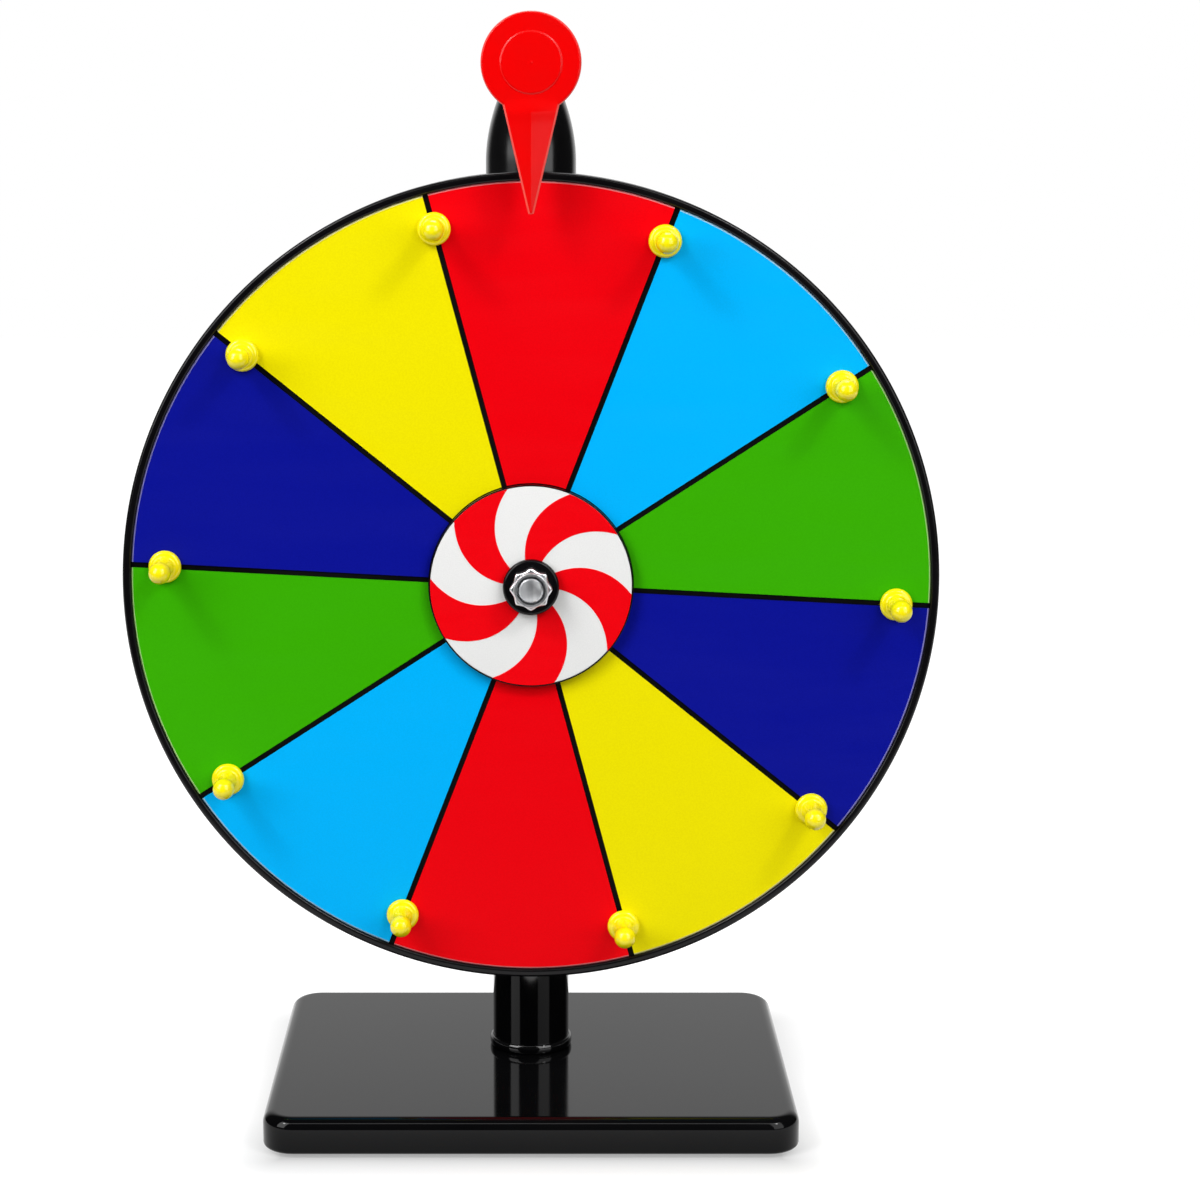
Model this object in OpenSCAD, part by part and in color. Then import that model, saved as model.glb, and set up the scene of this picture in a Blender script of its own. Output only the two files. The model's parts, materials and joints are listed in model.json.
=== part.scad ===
// Tabletop prize wheel on a weighted stand, with a sprung pointer that clicks over the pegs.
// Origin on the table under the middle of the base. +Z is up and the wheel faces -Y.

/* [Wheel] */
// Outside diameter of the wheel over its edge trim
wheel_d = 304.8; // [260:0.2:340]
// Thickness of the wheel board
board_t = 9; // [8:0.5:14]
// Width of the trim's lip on the face of the board
rim_lip = 3.2; // [2.6:0.1:6]
// Thickness of the trim round the edge of the board
rim_wall = 2; // [1.2:0.1:2.4]
// Thickness of the trim's two lips
rim_rise = 1.4; // [1:0.1:2.5]
// Thickness of the coloured write-on panels
panel_t = 0.4; // [0.2:0.1:0.8]
// Width of the black lines between the panels
line_w = 1.8; // [0.8:0.1:4]
// Turn of the wheel at rest, counter-clockwise from the front
rest_turn = -3; // [-9:0.5:9]

/* [Pegs] */
// Distance from the edge of the wheel to the middle of the pegs
peg_inset = 15.9; // [13:0.1:22]
// Diameter of the peg's flange
peg_flange_d = 12.2; // [10:0.1:14]
// Thickness of the peg's flange
peg_flange_t = 2.6; // [1.6:0.1:4]
// Diameter of the peg's shank
peg_shank_d = 6.8; // [5:0.1:7.5]
// Diameter of the ball at the end of the peg
peg_ball_d = 8; // [7.6:0.1:10]
// Reach of the peg in front of the panels
peg_reach = 20; // [17:0.5:26]
// Diameter of the stem in the board
peg_stem_d = 5.4; // [4:0.1:6]
// Length of the stem in the board
peg_stem_l = 6.4; // [4:0.1:6.6]

/* [Hub] */
// Outside diameter of the front flange
hub_d = 76.2; // [70:0.2:90]
// Black edge of the front flange round the swirl disc
hub_edge = 0.4; // [0.4:0.1:2]
// Rise of the front flange over the board
hub_rise = 3.5; // [3:0.1:6]
// Thickness of the swirl disc
swirl_t = 0.6; // [0.4:0.1:1]
// Thickness of the red blades on the swirl disc
blade_foil_t = 0.1; // [0.05:0.01:0.2]
// Outside diameter of the bearing housings
housing_d = 32; // [29:0.5:36]
// Diameter of the rear flange
hub_rear_d = 62; // [58:0.5:80]
// Thickness of the rear flange
hub_rear_t = 3; // [2:0.1:5]
// Circle of the hub screws
hub_screw_circle_d = 48; // [46:0.5:50]
// Diameter of the bosses that take the hub screws
hub_boss_d = 7; // [6:0.1:8]
// Shank diameter of the hub screws
hub_screw_d = 3; // [2.5:0.1:3.5]

/* [Bearings and axle] */
// Bore of the bearings and diameter of the axle bolt
axle_d = 9; // [8:0.1:10]
// Outside diameter of the bearings
bearing_d = 24; // [22:0.1:26]
// Width of the bearings
bearing_w = 7; // [6:0.1:8]
// Diameter of the bearing balls
ball_d = 3.97; // [3:0.01:4.2]
// Depth of the front bearing behind the board's face
front_race_set = 0.5; // [0.2:0.1:1]
// Depth of the rear bearing behind the board's back
rear_race_set = 0.3; // [0.2:0.1:2]
// Lip of the housing over the outer race
housing_lip = 1.2; // [0.8:0.1:2]
// Clear space between the back of the hub and the pole
hub_gap = 4.5; // [3:0.1:10]
// Outside diameter of the spacers on the axle
spacer_d = 13; // [12:0.1:14]
// Diameter of the black washer in front of the hub
hub_washer_d = 21; // [19:0.1:26]
// Thickness of the black washer
hub_washer_t = 2.5; // [1.5:0.1:4]
// Diameter of the star nut over its points
nut_points_d = 15.9; // [15:0.1:17]
// Diameter of the star nut in its hollows
nut_hollow_d = 13.8; // [13:0.1:14.6]
// Height of the star part of the nut
nut_star_h = 4.2; // [3:0.1:6]
// Diameter of the round collar on the nut
nut_collar_d = 12.2; // [11.6:0.1:12.8]
// Height of the round collar on the nut
nut_collar_h = 1.9; // [1.2:0.1:3]
// Reach of the axle's domed end past the nut
axle_tip = 0.9; // [0.5:0.1:2]
// Width across the flats of the axle bolt's head
axle_head_af = 14; // [13:0.1:16]
// Height of the axle bolt's head
axle_head_h = 5.8; // [4:0.1:7]
// Diameter of the saddle behind the pole
saddle_d = 19; // [17:0.5:24]
// Thickness of the saddle at the pole's crown
saddle_t = 2.6; // [2:0.1:5]

/* [Pointer] */
// Diameter of the pointer's head
head_d = 36; // [34:0.2:44]
// Thickness of the pointer's head
head_t = 9.8; // [9.2:0.1:14]
// Wall of the pointer's head
head_wall = 2; // [1.4:0.1:3]
// Thickness of the pointer's face
head_face_t = 4; // [3.8:0.1:5]
// Rounding of the head's front edge
head_round = 1.4; // [0.6:0.1:2]
// Height of the pointer's pivot above the edge of the wheel
pivot_rise = 38.6; // [36:0.2:50]
// Reach of the pointer's tip past the top of a peg's shank
peg_bite = 2.4; // [1:0.1:4]
// Half of the blade's taper angle
blade_taper = 13.4; // [11:0.1:15]
// Width of the blade's rounded tip
tip_w = 2.4; // [1.6:0.1:4]
// Thickness of the blade at its edges
blade_t = 2.6; // [1.8:0.1:3.2]
// Slope of the blade's two faces up to the ridge
ridge_slope = 12; // [6:0.5:18]
// Diameter of the cap over the pivot screw
cap_d = 22.2; // [18:0.1:24]
// Thickness of the cap
cap_t = 1.2; // [0.8:0.1:1.6]
// Rise of the cap over the pointer's face
cap_rise = 0.3; // [0.1:0.1:0.6]
// Diameter of the shoulder that the pointer turns on
pivot_d = 6; // [5:0.1:7]
// Diameter of the pivot screw's head
pivot_head_d = 10; // [9:0.1:14]
// Height of the pivot screw's head
pivot_head_h = 1.2; // [0.8:0.1:1.3]
// Outside diameter of the pointer's hub
pointer_hub_d = 9.6; // [9.2:0.1:10]
// Wire of the return spring
spring_wire = 0.9; // [0.6:0.1:1]
// Mean diameter of the return spring
spring_d = 12.4; // [12:0.1:12.8]
// Diameter of the two pins between the spring's legs
spring_pin_d = 2.2; // [1.8:0.1:2.4]

/* [Arm] */
// Wall of the sleeve on the pole
sleeve_wall = 1.9; // [1.4:0.1:4]
// Length of the sleeve below the bend
sleeve_l = 36; // [28:1:60]
// Radius of the gooseneck's bend
bend_r = 36; // [33:0.5:39]
// Diameter of the nose behind the pointer
nose_d = 20; // [19.6:0.2:22]
// Space between the panels and the back of the pointer's seat
nose_clear = 3.6; // [3:0.1:8]
// Shank diameter of the screws in the back of the sleeve
arm_screw_d = 3.5; // [2.5:0.1:4]
// Distance between the two screws
arm_screw_gap = 14; // [10:0.5:16]

/* [Pole] */
// Outside diameter of the pole
pole_d = 30; // [26:0.1:32]
// Wall of the pole's tube
pole_wall = 1.5; // [1:0.1:3]
// Distance of the pole behind the middle of the base
pole_back = 10; // [0:0.5:20]
// Space between the wheel and the top of the base
wheel_clear = 39.6; // [25:0.2:80]
// Wall of the collar ring
collar_wall = 1.1; // [0.8:0.1:4]
// Height of the collar ring
collar_h = 4; // [2.5:0.1:8]
// Length of the threaded plug in the foot of the pole
plug_l = 18; // [14:0.5:30]
// Diameter of the bolt that holds the pole
pole_bolt_d = 8; // [6:0.1:10]

/* [Base] */
// Width of the base
base_w = 200; // [180:1:260]
// Depth of the base
base_d = 150; // [130:1:200]
// Height of the base shell
base_h = 13.5; // [12.5:0.1:20]
// Corner radius of the base in plan
base_corner_r = 12; // [9:0.5:20]
// Rounding of the base's top edge
base_round = 4.5; // [2:0.1:6]
// Bevel of the base's bottom edge
base_bevel = 1.6; // [0.6:0.1:2]
// Wall of the base shell
base_wall = 2.6; // [2.2:0.1:3.2]
// Thickness of the base's top
base_top_t = 3; // [2.5:0.1:4]
// Thickness of the steel ballast plate
ballast_t = 4; // [3:0.1:4]
// Distance of the feet from the sides of the base
foot_inset = 16; // [14:0.5:24]
// Diameter of the rubber feet
foot_d = 14; // [10:0.2:16]
// Height of the feet under the base
foot_h = 1.5; // [1:0.1:4]
// Distance of the ballast screws from the sides of the base
ballast_screw_inset = 38; // [34:0.5:46]

/* [Hidden] */
$fn = 64;

// Clearances: a turning fit, a part that drops into its seat, and a gap between still and turning faces
running = 0.05;
seat = 0.1;
air = 0.4;
// Overlap that makes cuts and joined solids clean
bite = 0.5;

// Colours of the panels, clockwise from the top
sector_n = 10;
sector_step = 360 / sector_n;
sector_paint = [
    [0.93, 0.01, 0.05], [0.00, 0.71, 1.00], [0.23, 0.68, 0.01], [0.05, 0.08, 0.58], [0.95, 0.90, 0.01]
];
gloss_black = [0.06, 0.06, 0.07];
soft_black = [0.11, 0.11, 0.12];
steel = [0.72, 0.73, 0.75];
red = [0.94, 0.02, 0.03];
yellow = [0.99, 0.93, 0.12];
white = [0.94, 0.94, 0.93];

// Wheel
wheel_r = wheel_d / 2;
board_r = wheel_r - rim_wall - seat;
panel_r = wheel_r - rim_lip - seat;
peg_circle_r = wheel_r - peg_inset;
hub_r = hub_d / 2;
race_cover = 3;
hub_open_d = bearing_d - 2 * race_cover;

// Stack along the axle, as distances in front of the board's face
front_race_d = -front_race_set;
front_race_back = front_race_d - bearing_w;
rear_race_d = -board_t - rear_race_set;
race_gap = front_race_back - rear_race_d;
rear_race_back = rear_race_d - bearing_w;
hub_back = rear_race_back - housing_lip;
hub_flange_back = -board_t - hub_rear_t;
pole_front = hub_back - hub_gap;
pole_axis = pole_front - pole_d / 2;
swirl_front = hub_rise + blade_foil_t;
washer_back = swirl_front + air;
washer_front = washer_back + hub_washer_t;
nut_front = washer_front + nut_star_h + nut_collar_h;
axle_front = nut_front + axle_tip;
saddle_back = pole_axis - pole_d / 2 - saddle_t;

// Heights and depths of the stand
base_top = foot_h + base_h;
axle_z = base_top + wheel_clear + wheel_r;
face_y = pole_back + pole_axis;
pivot_z = axle_z + wheel_r + pivot_rise;
bend_z = pivot_z - bend_r;
sleeve_d = pole_d + 2 * seat + 2 * sleeve_wall;
sleeve_low = bend_z - sleeve_l;
pole_top_gap = 4;
pole_top = bend_z - pole_top_gap;
cavity_top = base_top - base_top_t;
ballast_low = cavity_top - ballast_t;
ballast_gap = 0.8;
washer_t = 1.6;
bolt_head_h = 4.4;
bolt_hole_d = pole_bolt_d + 1;
bolt_end_gap = 4;
pole_washer_low = ballast_low - washer_t;

// Pointer, as distances in front of the board's face
nose_d_front = panel_t + nose_clear;
thrust_t = 1;
pointer_back = nose_d_front + thrust_t + 2 * seat;
pointer_front = pointer_back + head_t;
face_back = pointer_front - head_face_t;
cap_seat = pointer_front - pivot_head_h - cap_t + cap_rise - 2 * seat;
thread_d = pivot_d - 2;
thread_l = 12;
tip_above_axle = peg_circle_r + peg_shank_d / 2 - peg_bite;
pointer_l = pivot_z - axle_z - tip_above_axle;
tip_r = tip_w / 2;
blade_apex = pointer_l - tip_r + tip_r / sin(blade_taper);
blade_sink = 0.05;
blade_land = 0.2;
blade_front = pointer_front - blade_sink;
blade_back = blade_front - blade_t;
ridge_start = head_d * 0.4;
ridge_full = head_d * 0.54;
// Half widths of the blade and of its ridge, and the ridge's height, at a distance below the pivot
function blade_half(y) = (blade_apex - y) * tan(blade_taper);
function ridge_half(y) = blade_half(y) - blade_land;
function ridge_rise(y) = ridge_half(y) * tan(ridge_slope);

// Return spring
spring_gap = 0.45;
spring_turns = 3;
spring_pitch = spring_wire + spring_gap;
spring_lift = 1;
spring_low = nose_d_front + thrust_t + spring_lift + spring_wire / 2;
fixed_pin_y = spring_d / 2 + spring_wire / 2 + spring_gap + spring_pin_d / 2;
moving_pin_y = fixed_pin_y + spring_pin_d + 3 * air;
spring_leg_y = moving_pin_y + spring_pin_d / 2 + 2 * air;
spring_leg_x = spring_pin_d / 2 + spring_wire / 2 + seat;

// Places children in front of the wheel's face: x to the right, y up, z towards the viewer
module on_wheel(d = 0) {
    translate([0, face_y, axle_z]) rotate([90, 0, 0]) translate([0, 0, d]) children();
}

// Turns children with the sector lines, the first line being nearest to the right
module on_line(k) {
    rotate([0, 0, rest_turn + sector_step * k]) children();
}

// The same frame moved up to the pointer's pivot
module on_pivot(d = 0) {
    translate([0, face_y, pivot_z]) rotate([90, 0, 0]) translate([0, 0, d]) children();
}

module tube(od, id, h) {
    difference() {
        cylinder(d = od, h = h);
        translate([0, 0, -bite]) cylinder(d = id, h = h + 2 * bite);
    }
}

// The pole's own volume across the axle's frame, used to seat the saddles
module pole_cut(gap) {
    translate([0, 0, pole_axis]) rotate([90, 0, 0])
        cylinder(d = pole_d + 2 * gap, h = 3 * saddle_d, center = true);
}

// Half of a slab's edge: a straight side with a rounded top and a bevelled foot
module edge_profile(reach, h, round_r, bevel) {
    polygon([
        [0, 0], [reach - bevel, 0], [reach, bevel], [reach, h - round_r], [reach - round_r, h - round_r],
        [reach - round_r, h], [0, h]
    ]);
    if (round_r > 0)
        translate([reach - round_r, h - round_r]) intersection() {
            circle(r = round_r);
            square(round_r);
        }
}

// Slab with round corners in plan: four turned corners, four straight edges and a core
module slab(w, d, h, corner, round_r = 0, bevel = 0) {
    core_w = w - 2 * corner;
    core_d = d - 2 * corner;
    translate([-core_w / 2, -core_d / 2, 0]) cube([core_w, core_d, h]);
    for (side = [0, 1]) {
        rotate([0, 0, 180 * side]) {
            translate([core_w / 2, core_d / 2, 0]) rotate([90, 0, 0])
                linear_extrude(core_d) edge_profile(corner, h, round_r, bevel);
            translate([-core_w / 2, core_d / 2, 0]) rotate([90, 0, 90])
                linear_extrude(core_w) edge_profile(corner, h, round_r, bevel);
            translate([core_w / 2, core_d / 2, 0])
                rotate_extrude(angle = 90) edge_profile(corner, h, round_r, bevel);
            translate([-core_w / 2, core_d / 2, 0]) rotate([0, 0, 90])
                rotate_extrude(angle = 90) edge_profile(corner, h, round_r, bevel);
        }
    }
}

// The four corners of the base, at a distance from its sides
module at_corners(inset) {
    for (x = [-1, 1], y = [-1, 1])
        translate([x * (base_w / 2 - inset), y * (base_d / 2 - inset), 0]) children();
}

foot_boss_d = foot_d + 5;
foot_seat = 1;
foot_bevel = 0.6;
screw_boss_d = 8;
screw_boss_short = 0.3;
screw_d = 3;
screw_head_h = 2;
screw_in_top = 1.5;

module base_shell() {
    color(gloss_black) difference() {
        union() {
            difference() {
                translate([0, 0, foot_h]) slab(base_w, base_d, base_h, base_corner_r, base_round, base_bevel);
                translate([0, 0, foot_h - bite])
                    slab(base_w - 2 * base_wall, base_d - 2 * base_wall, cavity_top - foot_h + bite,
                         base_corner_r - base_wall);
            }
            at_corners(foot_inset)
                translate([0, 0, foot_h]) cylinder(d = foot_boss_d, h = base_h - base_top_t + bite);
            at_corners(ballast_screw_inset)
                translate([0, 0, ballast_low + screw_boss_short])
                    cylinder(d = screw_boss_d, h = ballast_t - screw_boss_short + bite);
        }
        at_corners(foot_inset)
            translate([0, 0, foot_h - bite]) cylinder(d = foot_d + 2 * seat, h = foot_seat + bite);
        at_corners(ballast_screw_inset) translate([0, 0, ballast_low - bite])
            cylinder(d = screw_d + 2 * seat, h = ballast_t + screw_in_top + 2 * bite);
        translate([0, pole_back, cavity_top - bite]) cylinder(d = bolt_hole_d, h = base_top_t + 2 * bite);
    }
}

module ballast_plate() {
    inset = base_wall + ballast_gap;
    cut_h = ballast_t + 2 * bite;
    color(steel) difference() {
        translate([0, 0, ballast_low])
            slab(base_w - 2 * inset, base_d - 2 * inset, ballast_t, base_corner_r - inset);
        translate([0, 0, ballast_low - bite]) {
            at_corners(foot_inset) cylinder(d = foot_boss_d + 2 * ballast_gap, h = cut_h);
            at_corners(ballast_screw_inset) cylinder(d = screw_boss_d + 4 * seat, h = cut_h);
            translate([0, pole_back, 0]) cylinder(d = bolt_hole_d, h = cut_h);
        }
    }
}

module ballast_screws() {
    head_d = screw_boss_d + 4;
    color(steel) at_corners(ballast_screw_inset) {
        translate([0, 0, ballast_low - screw_head_h])
            cylinder(d1 = head_d - screw_head_h, d2 = head_d, h = screw_head_h);
        translate([0, 0, ballast_low - bite]) cylinder(d = screw_d, h = ballast_t + screw_in_top + bite);
    }
}

module rubber_feet() {
    color(soft_black) at_corners(foot_inset) {
        translate([0, 0, foot_bevel]) cylinder(d = foot_d, h = foot_h + foot_seat - foot_bevel);
        cylinder(d1 = foot_d - 2 * foot_bevel, d2 = foot_d, h = foot_bevel);
    }
}

module pole_bolt() {
    head_d = pole_bolt_d * 1.75;
    socket_af = pole_bolt_d * 0.625;
    color(steel) translate([0, pole_back, pole_washer_low]) difference() {
        union() {
            translate([0, 0, -bolt_head_h]) cylinder(d1 = head_d * 0.72, d2 = head_d, h = bolt_head_h);
            cylinder(d = pole_bolt_d, h = base_top + plug_l - bolt_end_gap - pole_washer_low);
        }
        translate([0, 0, -bolt_head_h - bite])
            cylinder(d = socket_af / cos(30), h = bolt_head_h * 0.6 + bite, $fn = 6);
    }
}

module pole_washer() {
    color(steel) translate([0, pole_back, pole_washer_low])
        tube(pole_bolt_d * 3, pole_bolt_d + 4 * seat, washer_t);
}

module pole_plug() {
    color(steel) translate([0, pole_back, base_top])
        tube(pole_d - 2 * pole_wall - 2 * seat, pole_bolt_d + 2 * seat, plug_l);
}

module pole() {
    color(gloss_black) difference() {
        translate([0, pole_back, base_top]) tube(pole_d, pole_d - 2 * pole_wall, pole_top - base_top);
        on_wheel(pole_axis - pole_d) cylinder(d = axle_d + 2 * seat, h = 2 * pole_d);
        translate([0, pole_back, 0]) arm_screw_places() cylinder(d = arm_screw_d + 2 * seat, h = pole_d);
    }
}

module collar_ring() {
    edge = collar_wall * 0.8;
    color(gloss_black) translate([0, pole_back, base_top]) rotate_extrude()
        translate([pole_d / 2 + seat, 0]) edge_profile(collar_wall, collar_h, edge, 0);
}

// Gooseneck: round sections swept through a quarter turn, slimming from the sleeve to the nose
bend_steps = 22;
bend_sides = 44;
// The swept part stays this much inside the round sleeve and nose that it joins
bend_inset = 0.03;
function bend_section_r(a) =
    pow(pow(sleeve_d / 2 * pow(cos(a), 1.3), 4) + pow(nose_d / 2 * sin(a), 4), 0.25) - bend_inset;
function bend_point(a, b) = [
    bend_section_r(a) * cos(b),
    pole_back - bend_r + (bend_r + bend_section_r(a) * sin(b)) * cos(a),
    bend_z + (bend_r + bend_section_r(a) * sin(b)) * sin(a)
];

module gooseneck() {
    points = [
        for (i = [0:bend_steps], j = [0:bend_sides - 1])
            bend_point(90 * i / bend_steps, 360 * j / bend_sides)
    ];
    walls = [
        for (i = [0:bend_steps - 1], j = [0:bend_sides - 1])
            let (p = i * bend_sides + j, q = i * bend_sides + (j + 1) % bend_sides)
                each [[p, p + bend_sides, q], [q, p + bend_sides, q + bend_sides]]
    ];
    start_cap = [for (j = [0:bend_sides - 1]) j];
    end_cap = [for (j = [bend_sides - 1:-1:0]) bend_steps * bend_sides + j];
    polyhedron(points, concat(walls, [start_cap, end_cap]));
}

// Screw axes in the back of the sleeve, pointing backwards from the pole's axis
module arm_screw_places() {
    for (side = [-1, 1])
        translate([0, 0, sleeve_low + sleeve_l / 2 + side * arm_screw_gap / 2])
            rotate([-90, 0, 0]) children();
}

module pointer_arm() {
    nose_l = pole_back - bend_r - (face_y - nose_d_front);
    hole_l = thread_l + 2;
    color(gloss_black) difference() {
        union() {
            gooseneck();
            translate([0, pole_back, sleeve_low]) cylinder(d = sleeve_d, h = sleeve_l);
            on_pivot(nose_d_front - nose_l) cylinder(d = nose_d, h = nose_l);
            on_pivot(nose_d_front - bite) translate([0, fixed_pin_y, 0])
                cylinder(d = spring_pin_d, h = face_back - air - nose_d_front + bite);
        }
        translate([0, pole_back, sleeve_low - bite])
            cylinder(d = pole_d + 2 * seat, h = pole_top - sleeve_low + seat + bite);
        translate([0, pole_back, 0]) arm_screw_places() cylinder(d = arm_screw_d + 2 * seat, h = sleeve_d);
        on_pivot(nose_d_front - hole_l) cylinder(d = thread_d + 2 * seat, h = hole_l + bite);
    }
}

// Low domed screw head twice as wide as its shank
module pan_head(shank_d) {
    intersection() {
        cylinder(r = shank_d, h = shank_d);
        translate([0, 0, -shank_d * 0.55]) sphere(r = shank_d * 1.25);
    }
}

module arm_screws() {
    shank_low = pole_d / 2 - pole_wall - arm_screw_d;
    color(steel) translate([0, pole_back, 0]) arm_screw_places() {
        translate([0, 0, sleeve_d / 2]) pan_head(arm_screw_d);
        translate([0, 0, shank_low]) cylinder(d = arm_screw_d, h = sleeve_d / 2 - shank_low + bite);
    }
}

module axle_bolt() {
    color(steel) on_wheel() {
        translate([0, 0, saddle_back - axle_head_h])
            cylinder(d = axle_head_af / cos(30), h = axle_head_h, $fn = 6);
        translate([0, 0, saddle_back - bite])
            cylinder(d = axle_d, h = axle_front - axle_tip - saddle_back + bite);
        translate([0, 0, axle_front - axle_tip]) intersection() {
            cylinder(d = axle_d, h = axle_tip);
            translate([0, 0, axle_tip - axle_d]) sphere(r = axle_d);
        }
    }
}

module rear_saddle() {
    color(soft_black) on_wheel() difference() {
        translate([0, 0, saddle_back]) cylinder(d = saddle_d, h = saddle_t + pole_d / 4);
        pole_cut(seat);
        translate([0, 0, saddle_back - bite]) cylinder(d = axle_d + 4 * seat, h = pole_d);
    }
}

module axle_spacer() {
    wrap = spacer_d / 4;
    color(steel) on_wheel() difference() {
        translate([0, 0, pole_front - wrap]) cylinder(d = spacer_d, h = rear_race_back - pole_front + wrap);
        pole_cut(seat);
        translate([0, 0, pole_axis]) cylinder(d = axle_d + 2 * seat, h = -pole_axis);
    }
}

// Ball bearings: the races' grooves clear the balls all round
ball_n = 8;
ball_pitch_r = (axle_d + bearing_d) / 4;
groove_r = ball_d / 2 + running;
race_land = 0.68 * ball_d / 2;

module groove() {
    translate([0, 0, bearing_w / 2]) rotate_extrude() translate([ball_pitch_r, 0]) circle(r = groove_r);
}

module inner_race() {
    difference() {
        tube(2 * (ball_pitch_r - race_land), axle_d + 2 * running, bearing_w);
        groove();
    }
}

// Outer race with its two pressed-in shields
module outer_race() {
    shield_t = 0.5;
    shield_set = 0.2;
    land_r = ball_pitch_r + race_land;
    shield_r = ball_pitch_r - race_land + air;
    difference() {
        tube(bearing_d - 2 * running, 2 * land_r, bearing_w);
        groove();
    }
    for (low = [shield_set, bearing_w - shield_set - shield_t])
        translate([0, 0, low]) tube(2 * (land_r + bite), 2 * shield_r, shield_t);
}

module ball_set() {
    for (k = [0:ball_n - 1])
        rotate([0, 0, 360 * k / ball_n]) translate([ball_pitch_r, 0, bearing_w / 2]) sphere(d = ball_d);
}

module inner_race_front() { color(steel) on_wheel(front_race_back) inner_race(); }
module inner_race_rear() { color(steel) on_wheel(rear_race_back) inner_race(); }
module outer_race_front() { color(steel) on_wheel(front_race_back) outer_race(); }
module outer_race_rear() { color(steel) on_wheel(rear_race_back) outer_race(); }
module balls_front() { color(steel) on_wheel(front_race_back) ball_set(); }
module balls_rear() { color(steel) on_wheel(rear_race_back) ball_set(); }

module race_spacer() {
    color(steel) on_wheel(rear_race_d) tube(spacer_d - 1, axle_d + 2 * seat, race_gap);
}

module hub_washer() {
    edge = hub_washer_t * 0.4;
    reach = hub_washer_d / 2;
    color(gloss_black) on_wheel() difference() {
        union() {
            translate([0, 0, front_race_d]) cylinder(d = spacer_d - 1, h = washer_back - front_race_d + bite);
            translate([0, 0, washer_back]) rotate_extrude() edge_profile(reach, hub_washer_t, edge, edge / 3);
        }
        translate([0, 0, front_race_d - bite])
            cylinder(d = axle_d + 2 * seat, h = washer_front - front_race_d + 2 * bite);
    }
}

// Eight-point lock nut: hollows cut between the points, a bevelled crown and a round collar
module star_nut() {
    points = 8;
    tip = nut_points_d / 2;
    valley = nut_hollow_d / 2;
    half = 180 / points;
    reach = (tip * tip - valley * valley) / (2 * (tip * cos(half) - valley));
    collar_r = nut_collar_d / 2;
    recess_d = nut_collar_d - 1.4;
    chamfer = 0.4;
    turn = 8;
    color(steel) on_wheel(washer_front) difference() {
        union() {
            difference() {
                rotate_extrude() polygon([
                    [0, 0], [tip - chamfer, 0], [tip, chamfer], [tip, nut_star_h * 0.6],
                    [collar_r + chamfer / 2, nut_star_h], [0, nut_star_h]
                ]);
                for (k = [0:points - 1])
                    rotate([0, 0, 360 / points * (k + 0.5) + turn]) translate([reach, 0, -bite])
                        cylinder(r = reach - valley, h = nut_star_h + 2 * bite);
            }
            translate([0, 0, nut_star_h - bite]) rotate_extrude() polygon([
                [0, 0], [collar_r, 0], [collar_r, nut_collar_h + bite - chamfer],
                [collar_r - chamfer, nut_collar_h + bite], [0, nut_collar_h + bite]
            ]);
        }
        translate([0, 0, -bite]) cylinder(d = axle_d + 2 * running, h = nut_star_h + nut_collar_h + 2 * bite);
        translate([0, 0, nut_star_h]) cylinder(d = recess_d, h = nut_collar_h + bite);
    }
}

module wheel_board() {
    color(soft_black) on_wheel(-board_t) difference() {
        cylinder(r = board_r, h = board_t);
        translate([0, 0, -bite]) cylinder(d = housing_d + 2 * seat, h = board_t + 2 * bite);
        hub_screw_places()
            translate([0, 0, -bite]) cylinder(d = hub_boss_d + 2 * seat, h = board_t + 2 * bite);
        for (k = [0:sector_n - 1])
            on_line(k) translate([peg_circle_r, 0, board_t - peg_stem_l])
                cylinder(d = peg_stem_d + 2 * seat, h = peg_stem_l + bite);
    }
}

// Channel that wraps the edge of the board
module rim_trim() {
    edge = rim_rise * 0.7;
    depth = board_t + 2 * rim_rise;
    color(gloss_black) on_wheel(-board_t - rim_rise) rotate_extrude() difference() {
        union() {
            translate([wheel_r - rim_lip, 0]) square([rim_lip - edge, depth]);
            translate([wheel_r - rim_lip, edge]) square([rim_lip, depth - 2 * edge]);
            for (y = [edge, depth - edge]) translate([wheel_r - edge, y]) circle(r = edge);
        }
        translate([0, rim_rise]) square([wheel_r - rim_wall, board_t]);
    }
}

// One write-on panel between two sector lines, notched round the pegs' stems
module panel(k) {
    far = 2 * wheel_r;
    cut_h = panel_t + 2 * bite;
    color(sector_paint[k % len(sector_paint)]) on_wheel() on_line(2 - k) difference() {
        intersection() {
            tube(2 * panel_r, hub_d + 6 * seat, panel_t);
            translate([0, line_w / 2, -bite]) cube([far, far, cut_h]);
            rotate([0, 0, sector_step]) translate([0, -line_w / 2 - far, -bite]) cube([far, far, cut_h]);
        }
        for (turn = [0, sector_step])
            rotate([0, 0, turn]) translate([peg_circle_r, 0, -bite])
                cylinder(d = peg_stem_d + 4 * seat, h = cut_h);
    }
}

module peg(k) {
    rim = peg_flange_t / 2;
    ball_r = peg_ball_d / 2;
    blend = 1.2;
    shank_r = peg_shank_d / 2;
    color(yellow) on_wheel(panel_t) on_line(k) translate([peg_circle_r, 0, 0]) {
        translate([0, 0, -panel_t - peg_stem_l + seat]) cylinder(d = peg_stem_d, h = panel_t + peg_stem_l);
        rotate_extrude() {
            square([peg_flange_d / 2 - rim, peg_flange_t]);
            translate([peg_flange_d / 2 - rim, rim]) circle(r = rim);
            difference() {
                square([shank_r + blend, peg_flange_t + blend]);
                translate([shank_r + blend, peg_flange_t + blend]) circle(r = blend);
            }
            square([shank_r, peg_reach - ball_r]);
        }
        translate([0, 0, peg_reach - ball_r]) sphere(r = ball_r);
    }
}

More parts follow.
